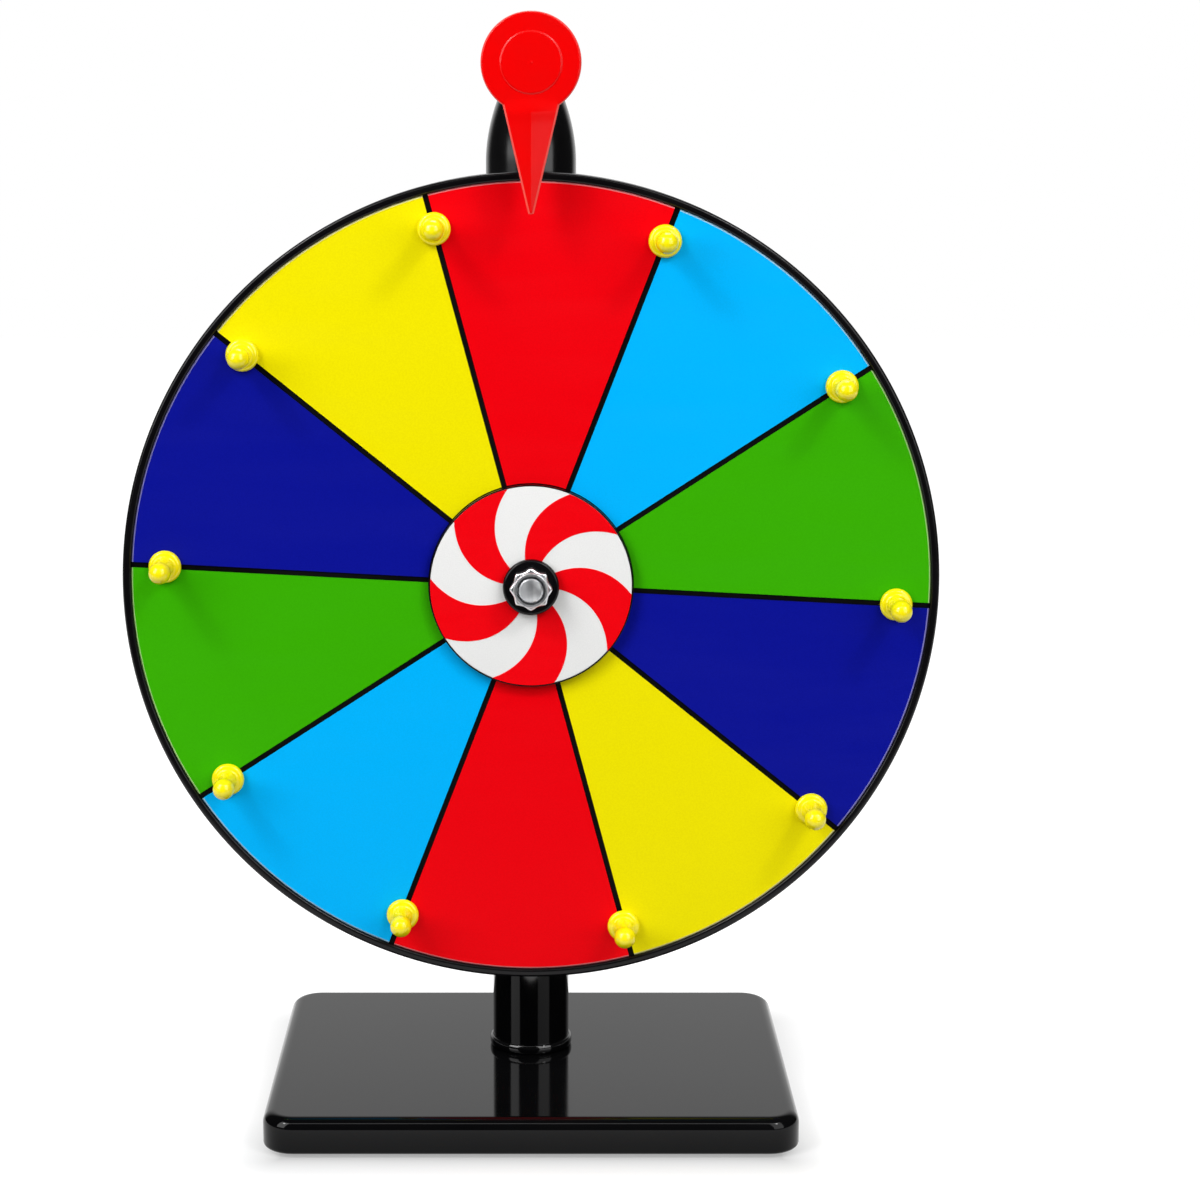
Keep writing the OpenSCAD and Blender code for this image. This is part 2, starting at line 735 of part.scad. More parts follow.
// Places for the screws that clamp the two hub flanges together
module hub_screw_places() {
    for (k = [0:3]) rotate([0, 0, 45 + 90 * k]) translate([hub_screw_circle_d / 2, 0, 0]) children();
}

module hub_front() {
    boss_short = 1.5;
    boss_l = board_t - boss_short;
    color(gloss_black) on_wheel() difference() {
        union() {
            rotate_extrude() edge_profile(hub_r, hub_rise, hub_edge / 2, 0);
            translate([0, 0, front_race_back + seat]) cylinder(d = housing_d, h = -front_race_back);
            translate([0, 0, -boss_l]) hub_screw_places() cylinder(d = hub_boss_d, h = boss_l + bite);
        }
        translate([0, 0, hub_rise - swirl_t]) cylinder(r = hub_r - hub_edge, h = swirl_t + bite);
        translate([0, 0, front_race_back - bite]) cylinder(d = bearing_d, h = bearing_w + bite);
        translate([0, 0, front_race_d - bite]) cylinder(d = hub_open_d, h = hub_rise + bite);
        translate([0, 0, -boss_l - bite])
            hub_screw_places() cylinder(d = hub_screw_d + 2 * seat, h = boss_l + bite);
    }
}

module hub_rear() {
    gusset_w = 2;
    gusset_l = (hub_rear_d - housing_d) / 2 - hub_rear_t / 3;
    gusset_h = hub_flange_back - hub_back - 1;
    color(soft_black) on_wheel() difference() {
        union() {
            translate([0, 0, hub_flange_back])
                rotate_extrude() edge_profile(hub_rear_d / 2, hub_rear_t, 0, hub_rear_t / 3);
            translate([0, 0, hub_back]) cylinder(d = housing_d, h = -board_t - hub_back);
            for (k = [0:3]) rotate([90, 0, 90 * k])
                translate([housing_d / 2 - bite, hub_flange_back + bite, -gusset_w / 2])
                    linear_extrude(gusset_w) polygon([[0, 0], [gusset_l, 0], [0, -gusset_h]]);
        }
        translate([0, 0, rear_race_back]) cylinder(d = bearing_d, h = -rear_race_back);
        translate([0, 0, hub_back - bite]) cylinder(d = hub_open_d, h = 2 * bearing_w);
        translate([0, 0, hub_flange_back - bite]) hub_screw_places()
            cylinder(d = hub_screw_d + 4 * seat, h = hub_rear_t + 2 * bite);
    }
}

module hub_screws() {
    end_gap = 2;
    color(steel) on_wheel(hub_flange_back) hub_screw_places() {
        mirror([0, 0, 1]) pan_head(hub_screw_d);
        translate([0, 0, -bite]) cylinder(d = hub_screw_d, h = hub_rear_t + board_t - end_gap + bite);
    }
}

module swirl_disc() {
    color(white) on_wheel(hub_rise - swirl_t)
        tube(hub_d - 2 * hub_edge - 2 * seat, hub_open_d + 4 * seat, swirl_t);
}

// Red blades that curl as they run in from the edge of the swirl disc
swirl_n = 5;
swirl_phase = 106.4;
swirl_curl = 40;
swirl_bend = 1.6;
swirl_steps = 14;
swirl_r = hub_r - hub_edge - seat;
function swirl_point(r, turn) =
    let (a = turn + swirl_curl * (1 - pow(r / swirl_r, swirl_bend)))
        [r * cos(a), r * sin(a)];

module swirl_blades() {
    near = hub_open_d / 2 + 4 * seat;
    far = swirl_r + bite;
    step = (far - near) / swirl_steps;
    width = 180 / swirl_n;
    edge_in = [for (i = [0:swirl_steps]) swirl_point(far - i * step, 0)];
    edge_out = [for (i = [0:swirl_steps]) swirl_point(near + i * step, width)];
    reach = far / cos(width / 2) + bite;
    crown = [for (a = [width, 0]) [reach * cos(a), reach * sin(a)]];
    color(red) on_wheel(hub_rise) intersection() {
        cylinder(r = swirl_r, h = blade_foil_t);
        for (k = [0:swirl_n - 1])
            rotate([0, 0, rest_turn + swirl_phase + 2 * width * k])
                linear_extrude(blade_foil_t) polygon(concat(edge_in, edge_out, crown));
    }
}

// Plan of the blade below the pivot: straight edges that run to a round tip
module blade_plan() {
    tip_y = pointer_l - tip_r;
    touch = [tip_r * cos(blade_taper), -tip_y - tip_r * sin(blade_taper)];
    polygon([[-blade_half(0), 0], [blade_half(0), 0], touch, [-touch[0], touch[1]]]);
    translate([0, -tip_y]) circle(r = tip_r);
}

// Points across the blade at a distance below the pivot: two sloping faces that meet in a ridge
function ridge_section(y, rise) =
    let (half = ridge_half(y))
        [[-half, -y, -bite], [half, -y, -bite], [half, -y, 0], [0, -y, rise], [-half, -y, 0]];

// The ridge rises out of the head's face and runs out at the tip
module blade_ridge() {
    n = 5;
    end = pointer_l - tip_r;
    walls = [
        for (row = [0, n], i = [0:n - 1])
            let (a = row + i, b = row + (i + 1) % n)
                each [[a, n + b, b], [a, n + a, n + b]]
    ];
    caps = [[for (i = [0:n - 1]) i], [for (i = [n - 1:-1:0]) 2 * n + i]];
    polyhedron(
        concat(
            ridge_section(ridge_start, blade_sink),
            ridge_section(ridge_full, ridge_rise(ridge_full)),
            ridge_section(end, ridge_rise(end))
        ),
        concat(walls, caps)
    );
}

module pointer() {
    head_r = head_d / 2;
    color(red) on_pivot() difference() {
        union() {
            difference() {
                translate([0, 0, pointer_back])
                    rotate_extrude() edge_profile(head_r, head_t, head_round, head_wall / 4);
                translate([0, 0, pointer_back - bite])
                    cylinder(r = head_r - head_wall, h = face_back - pointer_back + bite);
            }
            translate([0, 0, pointer_back]) cylinder(d = pointer_hub_d, h = head_t - head_face_t + bite);
            translate([0, 0, blade_back]) linear_extrude(blade_t) blade_plan();
            translate([0, 0, blade_front]) blade_ridge();
            translate([0, moving_pin_y, pointer_back + air])
                cylinder(d = spring_pin_d, h = face_back - pointer_back);
        }
        translate([0, 0, cap_seat]) cylinder(d = cap_d + 2 * seat, h = pointer_front - cap_seat + bite);
        translate([0, 0, pointer_back - bite]) cylinder(d = pivot_d + 2 * running, h = head_t + 2 * bite);
    }
}

module pointer_cap() {
    skirt = pointer_front - cap_t + cap_rise;
    color(red) on_pivot() {
        translate([0, 0, skirt]) rotate_extrude() edge_profile(cap_d / 2, cap_t, cap_rise, 0);
        translate([0, 0, cap_seat]) tube(cap_d, cap_d - 2 * cap_t, skirt - cap_seat + seat);
    }
}

module pivot_screw() {
    color(steel) on_pivot() {
        translate([0, 0, nose_d_front - thread_l]) cylinder(d = thread_d, h = thread_l + bite);
        translate([0, 0, nose_d_front]) cylinder(d = pivot_d, h = cap_seat - nose_d_front + bite);
        translate([0, 0, cap_seat + seat])
            cylinder(d1 = pivot_head_d, d2 = pivot_head_d - pivot_head_h, h = pivot_head_h - seat);
    }
}

module thrust_washer() {
    color(white) on_pivot(nose_d_front) tube(pointer_hub_d, pivot_d + 2 * seat, thrust_t);
}

// Torsion spring: two straight legs that straddle the pins, and the coil between them
spring_sides = 6;
spring_rings = 8;
leg_turn = asin(spring_leg_x / (spring_d / 2));
coil_steps = round(spring_turns * spring_rings);
coil_sweep = 360 * spring_turns - 2 * leg_turn;
function coil_point(t) =
    let (a = 90 + leg_turn + coil_sweep * t)
        [spring_d / 2 * cos(a), spring_d / 2 * sin(a), spring_low + spring_pitch * spring_turns * t];
function spring_path() = concat(
    [[-spring_leg_x, spring_leg_y, spring_low], [-spring_leg_x, spring_d / 2 + spring_wire, spring_low]],
    [for (i = [1:coil_steps - 1]) coil_point(i / coil_steps)],
    [
        [spring_leg_x, spring_d / 2 + spring_wire, spring_low + spring_pitch * spring_turns],
        [spring_leg_x, spring_leg_y, spring_low + spring_pitch * spring_turns]
    ]
);

// Ring of points round a wire, square to the way it runs
function unit(v) = v / norm(v);
function wire_ring(path, i) =
    let (
        last = len(path) - 1,
        along = unit(path[min(i + 1, last)] - path[max(i - 1, 0)]),
        side = unit(cross(along, [0, 0, 1])),
        up = cross(side, along)
    )
        [for (j = [0:spring_sides - 1])
            let (a = 360 * j / spring_sides)
                path[i] + spring_wire / 2 * (cos(a) * side + sin(a) * up)];

// Least space between turns of the wire, measured on its points
function least_gap(path, apart) = min([
    for (i = [0:len(path) - 1]) for (j = [i + apart:1:len(path) - 1]) norm(path[i] - path[j])
]) - spring_wire;

module pointer_spring() {
    path = spring_path();
    n = len(path);
    points = [for (i = [0:n - 1]) each wire_ring(path, i)];
    walls = [
        for (i = [0:n - 2], j = [0:spring_sides - 1])
            let (p = i * spring_sides + j, q = i * spring_sides + (j + 1) % spring_sides)
                each [[p, q, p + spring_sides], [q, q + spring_sides, p + spring_sides]]
    ];
    caps = [
        [for (j = [spring_sides - 1:-1:0]) j],
        [for (j = [0:spring_sides - 1]) (n - 1) * spring_sides + j]
    ];
    echo(spring_least_gap = least_gap(path, spring_rings / 2));
    color(steel) on_pivot() polyhedron(points, concat(walls, caps));
}

base_shell();
ballast_plate();
ballast_screws();
rubber_feet();
pole_bolt();
pole_washer();
pole_plug();
pole();
collar_ring();
pointer_arm();
arm_screws();
axle_bolt();
rear_saddle();
axle_spacer();
inner_race_rear();
inner_race_front();
balls_rear();
balls_front();
race_spacer();
hub_washer();
star_nut();
pivot_screw();
thrust_washer();
pointer_spring();
wheel_board();
rim_trim();
hub_front();
hub_rear();
hub_screws();
swirl_disc();
swirl_blades();
outer_race_rear();
outer_race_front();
for (k = [1:sector_n]) {
    number = str(k < 10 ? "0" : "", k);
    panel(k - 1);
    peg(3 - k);
}
pointer();
pointer_cap();
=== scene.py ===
"""Looks of a tabletop prize wheel: gloss black stand, coloured wheel with yellow pegs, and a red pointer."""

import json
import math

import bmesh
import bpy
from mathutils import Matrix, Vector


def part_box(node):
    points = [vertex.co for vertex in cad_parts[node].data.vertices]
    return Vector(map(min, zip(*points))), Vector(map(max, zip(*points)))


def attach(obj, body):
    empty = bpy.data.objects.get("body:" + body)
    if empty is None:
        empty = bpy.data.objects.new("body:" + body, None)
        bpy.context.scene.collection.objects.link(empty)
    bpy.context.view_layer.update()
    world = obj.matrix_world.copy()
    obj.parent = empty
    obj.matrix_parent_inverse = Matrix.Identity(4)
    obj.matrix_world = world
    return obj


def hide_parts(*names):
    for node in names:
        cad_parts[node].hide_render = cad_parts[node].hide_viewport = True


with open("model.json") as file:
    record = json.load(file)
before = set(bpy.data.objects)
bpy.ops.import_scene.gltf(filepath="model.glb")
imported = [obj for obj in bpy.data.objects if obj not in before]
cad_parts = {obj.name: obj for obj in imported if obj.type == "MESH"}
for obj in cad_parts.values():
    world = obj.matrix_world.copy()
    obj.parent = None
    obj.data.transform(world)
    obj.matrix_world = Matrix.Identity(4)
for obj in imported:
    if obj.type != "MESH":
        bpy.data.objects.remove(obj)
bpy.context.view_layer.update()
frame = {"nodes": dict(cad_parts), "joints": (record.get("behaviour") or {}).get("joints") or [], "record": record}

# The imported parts: the finish of each, the body it rides on, and where the joints are
nodes = frame["nodes"]
record = frame["record"]
slot_of = {part["node"]: part["material_slot"] for part in record["subparts"]}
body_of = {node: body for body, members in record["behaviour"]["bodies"].items() for node in members}
joint_at = {joint["name"]: Vector(joint["pos_m"]) for joint in frame["joints"]}

# Directions and places: depths are counted forwards from the face of the wheel's board
MM = 0.001
FRONT = Vector((0, -1, 0))
UP = Vector((0, 0, 1))
AXLE = joint_at["wheel_spin"]
PIVOT = Vector((0, AXLE.y, joint_at["pointer_flick"].z))

# Places closer together than WELD are one; a face lies flat if its normal is upright by more than LEVEL
WELD = 0.001 * MM
LEVEL = 0.999

# Wheel
SECTORS = 10
SECTOR = math.tau / SECTORS
REST_TURN = math.radians(-3)
LINE_W = 2.1 * MM
RIM_LIP = 3.2 * MM
RIM_WALL = 2 * MM
PEG_INSET = 15.9 * MM
PANEL_INNER_R = 38.4 * MM

# Pointer
CAP_RISE = 0.3 * MM

# Base
BASE_CORNER = 12 * MM
BASE_ROUND = 4.5 * MM
BASE_BEVEL = 1.6 * MM
BASE_WALL = 2.6 * MM
BASE_TOP_T = 3 * MM
FOOT_INSET = 16 * MM
SCREW_INSET = 38 * MM


def clear_selection():
    """Leaves edit mode and deselects everything, so that the next operator acts on its own piece."""
    if bpy.context.mode != "OBJECT":
        bpy.ops.object.mode_set(mode="OBJECT")
    bpy.ops.object.select_all(action="DESELECT")


def activate(piece, *others):
    """Selects some pieces, the first as the active one, for the next operator."""
    clear_selection()
    for part in (piece, *others):
        part.select_set(True)
    bpy.context.view_layer.objects.active = piece


def joined(piece, *others):
    """Joins other pieces to the first, as loose parts of it."""
    activate(piece, *others)
    bpy.ops.object.join()
    return piece


def smoothed(piece, sharp, by_area=False):
    """Smooths the edges of a piece up to an angle in degrees; by area, its large faces still look flat."""
    activate(piece)
    bpy.ops.object.shade_smooth_by_angle(angle=math.radians(sharp))
    if by_area:
        apply_modifier(piece, "WEIGHTED_NORMAL", keep_sharp=True)
    return piece


def select_whole():
    """Selects all of the shape that is in edit mode."""
    bpy.ops.mesh.select_all(action="SELECT")


def extrude(move):
    """Extrudes what is selected in edit mode along a vector."""
    bpy.ops.mesh.extrude_region_move(TRANSFORM_OT_translate={"value": move})


def span(node):
    """Radius, back depth and front depth of a part that is turned about the axle or the pivot."""
    low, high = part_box(node)
    return (high.x - low.x) / 2, AXLE.y - high.y, AXLE.y - low.y


def direction(turn):
    """Direction in the plane of the wheel, at a turn anticlockwise from the right."""
    return Vector((math.cos(turn), 0, math.sin(turn)))


def rounded(corners, steps=6):
    """Outline through (across, along, radius) corners, with an arc of that radius at each."""
    points = []
    for i, (across, along, radius) in enumerate(corners):
        here = Vector((across, along))
        if radius == 0:
            points.append(here)
            continue
        back = (Vector(corners[i - 1][:2]) - here).normalized()
        ahead = (Vector(corners[i + 1][:2]) - here).normalized()
        half = back.angle(ahead) / 2
        centre = here + (back + ahead).normalized() * (radius / math.sin(half))
        start = here + back * (radius / math.tan(half)) - centre
        end = here + ahead * (radius / math.tan(half)) - centre
        turn = math.atan2(start.x * end.y - start.y * end.x, start.dot(end))
        points += [centre + Matrix.Rotation(turn * k / steps, 2) @ start for k in range(steps + 1)]
    return points


def arc(centre, radius, start, end, steps=12):
    """Points of an arc between two angles in degrees."""
    turns = [math.radians(start + (end - start) * k / steps) for k in range(steps + 1)]
    return [Vector(centre) + radius * Vector((math.cos(a), math.sin(a))) for a in turns]


def drawn(name, places):
    """A new piece that is one line through the places, left in edit mode with its end selected."""
    clear_selection()
    bpy.ops.mesh.primitive_plane_add(size=MM)
    piece = bpy.context.object
    piece.name = name
    bpy.ops.object.mode_set(mode="EDIT")
    bpy.ops.mesh.select_mode(type="VERT")
    bpy.ops.mesh.merge(type="CENTER")
    bpy.ops.transform.translate(value=places[0])
    for start, end in zip(places, places[1:]):
        bpy.ops.mesh.extrude_vertices_move(TRANSFORM_OT_translate={"value": end - start})
    return piece


def closed(piece, sharp=35):
    """Welds a shape's seams, turns its faces outwards and smooths all but its sharp edges."""
    select_whole()
    bpy.ops.mesh.remove_doubles(threshold=WELD)
    bpy.ops.mesh.normals_make_consistent(inside=False)
    return smoothed(piece, sharp)


def spin(steps, angle, centre, axis):
    """Spins what is drawn about an axis, anticlockwise as seen from the axis's end."""
    select_whole()
    bpy.ops.mesh.spin(steps=steps, angle=-angle, center=centre, axis=axis)


def turned(name, outline, centre, axis=FRONT, steps=128):
    """A piece turned on a lathe: an outline of (radius, height) points spun about the axis."""
    out = Vector((1, 0, 0))
    piece = drawn(name, [centre + out * point[0] + axis * point[1] for point in outline])
    spin(steps, math.tau, centre, axis)
    return closed(piece)


def pick_edges(piece, test):
    """Selects the edges, in edit mode, whose two ends pass a test of their places."""
    bpy.ops.mesh.select_mode(type="EDGE")
    bpy.ops.mesh.select_all(action="DESELECT")
    shape = bmesh.from_edit_mesh(piece.data)
    for edge in shape.edges:
        if test(edge.verts[0].co, edge.verts[1].co):
            edge.select_set(True)
    bmesh.update_edit_mesh(piece.data)


def pick_faces(piece, test):
    """Selects the faces, in edit mode, that pass a test of their normal."""
    bpy.ops.mesh.select_mode(type="FACE")
    bpy.ops.mesh.select_all(action="DESELECT")
    shape = bmesh.from_edit_mesh(piece.data)
    for face in shape.faces:
        if test(face.normal):
            face.select_set(True)
    bmesh.update_edit_mesh(piece.data)


def apply_modifier(piece, kind, **settings):
    """Adds a modifier with its settings and applies it."""
    activate(piece)
    modifier = piece.modifiers.new(kind.title(), kind)
    for key, value in settings.items():
        setattr(modifier, key, value)
    bpy.ops.object.modifier_apply(modifier=modifier.name)


def bevelled(piece, width, segments, sharp):
    """Rounds off the edges of a piece that are sharper than an angle in degrees."""
    apply_modifier(
        piece, "BEVEL", width=width, segments=segments, limit_method="ANGLE", angle_limit=math.radians(sharp))


def cleaned(piece):
    """Removes the edges and faces without any size that a cut or a bevel leaves."""
    activate(piece)
    bpy.ops.object.mode_set(mode="EDIT")
    select_whole()
    bpy.ops.mesh.remove_doubles(threshold=WELD)
    bpy.ops.mesh.dissolve_degenerate(threshold=WELD)
    bpy.ops.object.mode_set(mode="OBJECT")
    return piece


def combine(piece, other, operation):
    """Joins another closed piece to this one, or cuts it away, and removes the other."""
    apply_modifier(piece, "BOOLEAN", object=other, operation=operation, solver="EXACT")
    bpy.data.objects.remove(other)
    return cleaned(piece)


def copies(piece, moves):
    """One piece made of copies of a modelled one, each moved by its own matrix; the model is used up."""
    made = []
    for move in moves:
        copy = piece.copy()
        copy.data = piece.data.copy()
        copy.data.transform(move)
        bpy.context.collection.objects.link(copy)
        made.append(copy)
    name = piece.name
    bpy.data.objects.remove(piece)
    joined(*made).name = name
    return made[0]


def dressed(node, name, ease, sharp=30):
    """A copy of a part with its seams welded and its sharp edges eased."""
    piece = nodes[node].copy()
    piece.data = nodes[node].data.copy()
    piece.name = name
    piece.parent = None
    for key in list(piece.keys()):
        del piece[key]
    bpy.context.collection.objects.link(piece)
    activate(piece)
    bpy.ops.mesh.customdata_custom_splitnormals_clear()
    bpy.ops.object.mode_set(mode="EDIT")
    select_whole()
    bpy.ops.mesh.remove_doubles(threshold=WELD)
    bpy.ops.mesh.dissolve_limited(angle_limit=math.radians(0.3))
    bevelled(piece, ease, 2, sharp)
    return smoothed(piece, sharp, by_area=True)


def fit(piece, *stands_for):
    """Gives a finished piece its finish and the body that it rides on, and hides the parts that it stands for."""
    slot = slot_of[stands_for[0]]
    piece.data.materials.clear()
    piece.data.materials.append(finishes[slot])
    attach(piece, body_of[stands_for[0]])
    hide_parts(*stands_for)
    return piece


# Materials

def srgb(red, green, blue):
    """A colour as it looks on a screen, 0 to 255, turned into the linear values that shaders take."""
    steps = [value / 255 for value in (red, green, blue)]
    return [v / 12.92 if v <= 0.04045 else ((v + 0.055) / 1.055) ** 2.4 for v in steps] + [1]


def surface_group(name, inputs, outputs):
    """An empty node group with its input and output sockets, and the two nodes at its ends."""
    group = bpy.data.node_groups.new(name, "ShaderNodeTree")
    for way, sockets in (("INPUT", inputs), ("OUTPUT", outputs)):
        for socket, kind in sockets:
            group.interface.new_socket(name=socket, in_out=way, socket_type="NodeSocket" + kind)
    return group, group.nodes.new("NodeGroupInput"), group.nodes.new("NodeGroupOutput")


def feed(tree, value, socket):
    """Sets a socket to a number, or links another socket to it."""
    if isinstance(value, (int, float)):
        socket.default_value = value
    else:
        tree.links.new(value, socket)


def calculate(tree, operation, first, second):
    """The result of an operation on two values, each a number or a socket."""
    step = tree.nodes.new("ShaderNodeMath")
    step.operation = operation
    feed(tree, first, step.inputs[0])
    feed(tree, second, step.inputs[1])
    return step.outputs[0]


def noise(group, place, scale, detail=3.0):
    """A noise texture in a group, read at a place, with its scale from a socket or a number."""
    texture = group.nodes.new("ShaderNodeTexNoise")
    texture.inputs["Detail"].default_value = detail
    group.links.new(place, texture.inputs["Vector"])
    feed(group, scale, texture.inputs["Scale"])
    return texture.outputs["Fac"]


def spread(group, value, low, high, start=0.35, end=0.65):
    """Stretches a value between two others; without a start and an end, the middle of a noise."""
    ramp = group.nodes.new("ShaderNodeMapRange")
    for socket, source in (
            ("Value", value), ("From Min", start), ("From Max", end), ("To Min", low), ("To Max", high)):
        feed(group, source, ramp.inputs[socket])
    return ramp.outputs["Result"]


def blend_colours(group, share, first, second):
    """Mixes two colours by a share."""
    mix = group.nodes.new("ShaderNodeMix")
    mix.data_type = "RGBA"
    group.links.new(share, mix.inputs["Factor"])
    group.links.new(first, mix.inputs["A"])
    group.links.new(second, mix.inputs["B"])
    return mix.outputs["Result"]


SKIN_INPUTS = [
    ("Colour", "Color"), ("Cloud", "Color"), ("Cloud scale", "Float"), ("Grain scale", "Float"),
    ("Smooth", "Float"), ("Dull", "Float"),
]
SKIN_OUTPUTS = [("Colour", "Color"), ("Roughness", "Float"), ("Height", "Float")]
RELIEF_H = 0.05 * MM


def moulded_skin():
    """Moulded or painted skin: faint clouds in the colour, uneven gloss and a fine orange peel."""
    group, start, end = surface_group("moulded_skin", SKIN_INPUTS, SKIN_OUTPUTS)
    place = group.nodes.new("ShaderNodeTexCoord").outputs["Object"]
    given = start.outputs
    cloud = spread(group, noise(group, place, given["Cloud scale"]), 0.0, 1.0)
    group.links.new(blend_colours(group, cloud, given["Colour"], given["Cloud"]), end.inputs["Colour"])
    patches = noise(group, place, given["Cloud scale"], 6.0)
    group.links.new(spread(group, patches, given["Smooth"], given["Dull"]), end.inputs["Roughness"])
    group.links.new(noise(group, place, given["Grain scale"]), end.inputs["Height"])
    return group


def brushed_metal():
    """Brushed or drawn metal: streaks along one way in the colour, the gloss and the height."""
    group, start, end = surface_group("brushed_metal", SKIN_INPUTS + [("Streak", "Vector")], SKIN_OUTPUTS)
    place = group.nodes.new("ShaderNodeTexCoord").outputs["Object"]
    given = start.outputs
    stretch = group.nodes.new("ShaderNodeMapping")
    group.links.new(place, stretch.inputs["Vector"])
    group.links.new(given["Streak"], stretch.inputs["Scale"])
    streak = noise(group, stretch.outputs["Vector"], given["Grain scale"], 4.0)
    share = spread(group, streak, 0.0, 1.0)
    group.links.new(blend_colours(group, share, given["Colour"], given["Cloud"]), end.inputs["Colour"])
    cloud = noise(group, place, given["Cloud scale"])
    group.links.new(spread(group, cloud, given["Smooth"], given["Dull"]), end.inputs["Roughness"])
    group.links.new(streak, end.inputs["Height"])
    return group


def write_on_film():
    """Printed write-on film: a fine print grain, and wiping marks that show in the gloss."""
    group, start, end = surface_group("write_on_film", SKIN_INPUTS, SKIN_OUTPUTS)
    place = group.nodes.new("ShaderNodeTexCoord").outputs["Object"]
    given = start.outputs
    grain = noise(group, place, given["Grain scale"], 2.0)
    share = spread(group, grain, 0.0, 1.0)
    group.links.new(blend_colours(group, share, given["Colour"], given["Cloud"]), end.inputs["Colour"])
    wipe = group.nodes.new("ShaderNodeMapping")
    wipe.inputs["Rotation"].default_value = (0, math.radians(25), 0)
    wipe.inputs["Scale"].default_value = (1, 1, 6)
    group.links.new(place, wipe.inputs["Vector"])
    marks = noise(group, wipe.outputs["Vector"], given["Cloud scale"], 5.0)
    group.links.new(spread(group, marks, given["Smooth"], given["Dull"]), end.inputs["Roughness"])
    group.links.new(grain, end.inputs["Height"])
    return group


def painted_highlight_edge(name, start_at, full_at):
    """Painted highlight: paler colour on edges, by how far the surface turns away from the front: 0 facing it,
    0.25 at most.
    """
    group, start, end = surface_group(name, [("Colour", "Color"), ("Highlight", "Color")], [("Colour", "Color")])
    split = group.nodes.new("ShaderNodeSeparateXYZ")
    group.links.new(group.nodes.new("ShaderNodeTexCoord").outputs["Normal"], split.inputs[0])
    forwards = calculate(group, "MULTIPLY", split.outputs["Y"], -1)
    sideways = calculate(group, "SUBTRACT", 1, forwards)
    away = calculate(group, "MULTIPLY", forwards, sideways)
    share = spread(group, away, 0.0, 1.0, start_at, full_at)
    mixed = blend_colours(group, share, start.outputs["Colour"], start.outputs["Highlight"])
    group.links.new(mixed, end.inputs["Colour"])
    return group


def finish(
        name, group, colour, cloud, scales, gloss, relief, specular=0.5, metallic=0, streak=None, edge=None):
    """A material from one of the groups, with its own values; constants go on the shader itself."""
    made = bpy.data.materials.new(name)
    made.use_nodes = True
    tree = made.node_tree
    shader = tree.nodes["Principled BSDF"]
    shader.inputs["Specular IOR Level"].default_value = specular
    shader.inputs["Metallic"].default_value = metallic
    skin = tree.nodes.new("ShaderNodeGroup")
    skin.node_tree = group
    skin.inputs["Colour"].default_value = srgb(*colour)
    skin.inputs["Cloud"].default_value = srgb(*cloud)
    skin.inputs["Cloud scale"].default_value, skin.inputs["Grain scale"].default_value = scales
    skin.inputs["Smooth"].default_value, skin.inputs["Dull"].default_value = gloss
    if streak:
        skin.inputs["Streak"].default_value = streak
    bump = tree.nodes.new("ShaderNodeBump")
    bump.inputs["Strength"].default_value = relief
    bump.inputs["Distance"].default_value = RELIEF_H
    paint = skin.outputs["Colour"]
    # A painted highlight: the edge group pales the colour where the surface turns away from the front
    if edge:
        highlight_group, highlight_colour = edge
        highlight_tint = tree.nodes.new("ShaderNodeGroup")
        highlight_tint.node_tree = highlight_group
        highlight_tint.inputs["Highlight"].default_value = srgb(*highlight_colour)
        tree.links.new(paint, highlight_tint.inputs["Colour"])
        paint = highlight_tint.outputs["Colour"]
    tree.links.new(paint, shader.inputs["Base Color"])
    tree.links.new(skin.outputs["Roughness"], shader.inputs["Roughness"])
    tree.links.new(skin.outputs["Height"], bump.inputs["Height"])
    tree.links.new(bump.outputs["Normal"], shader.inputs["Normal"])
    return made


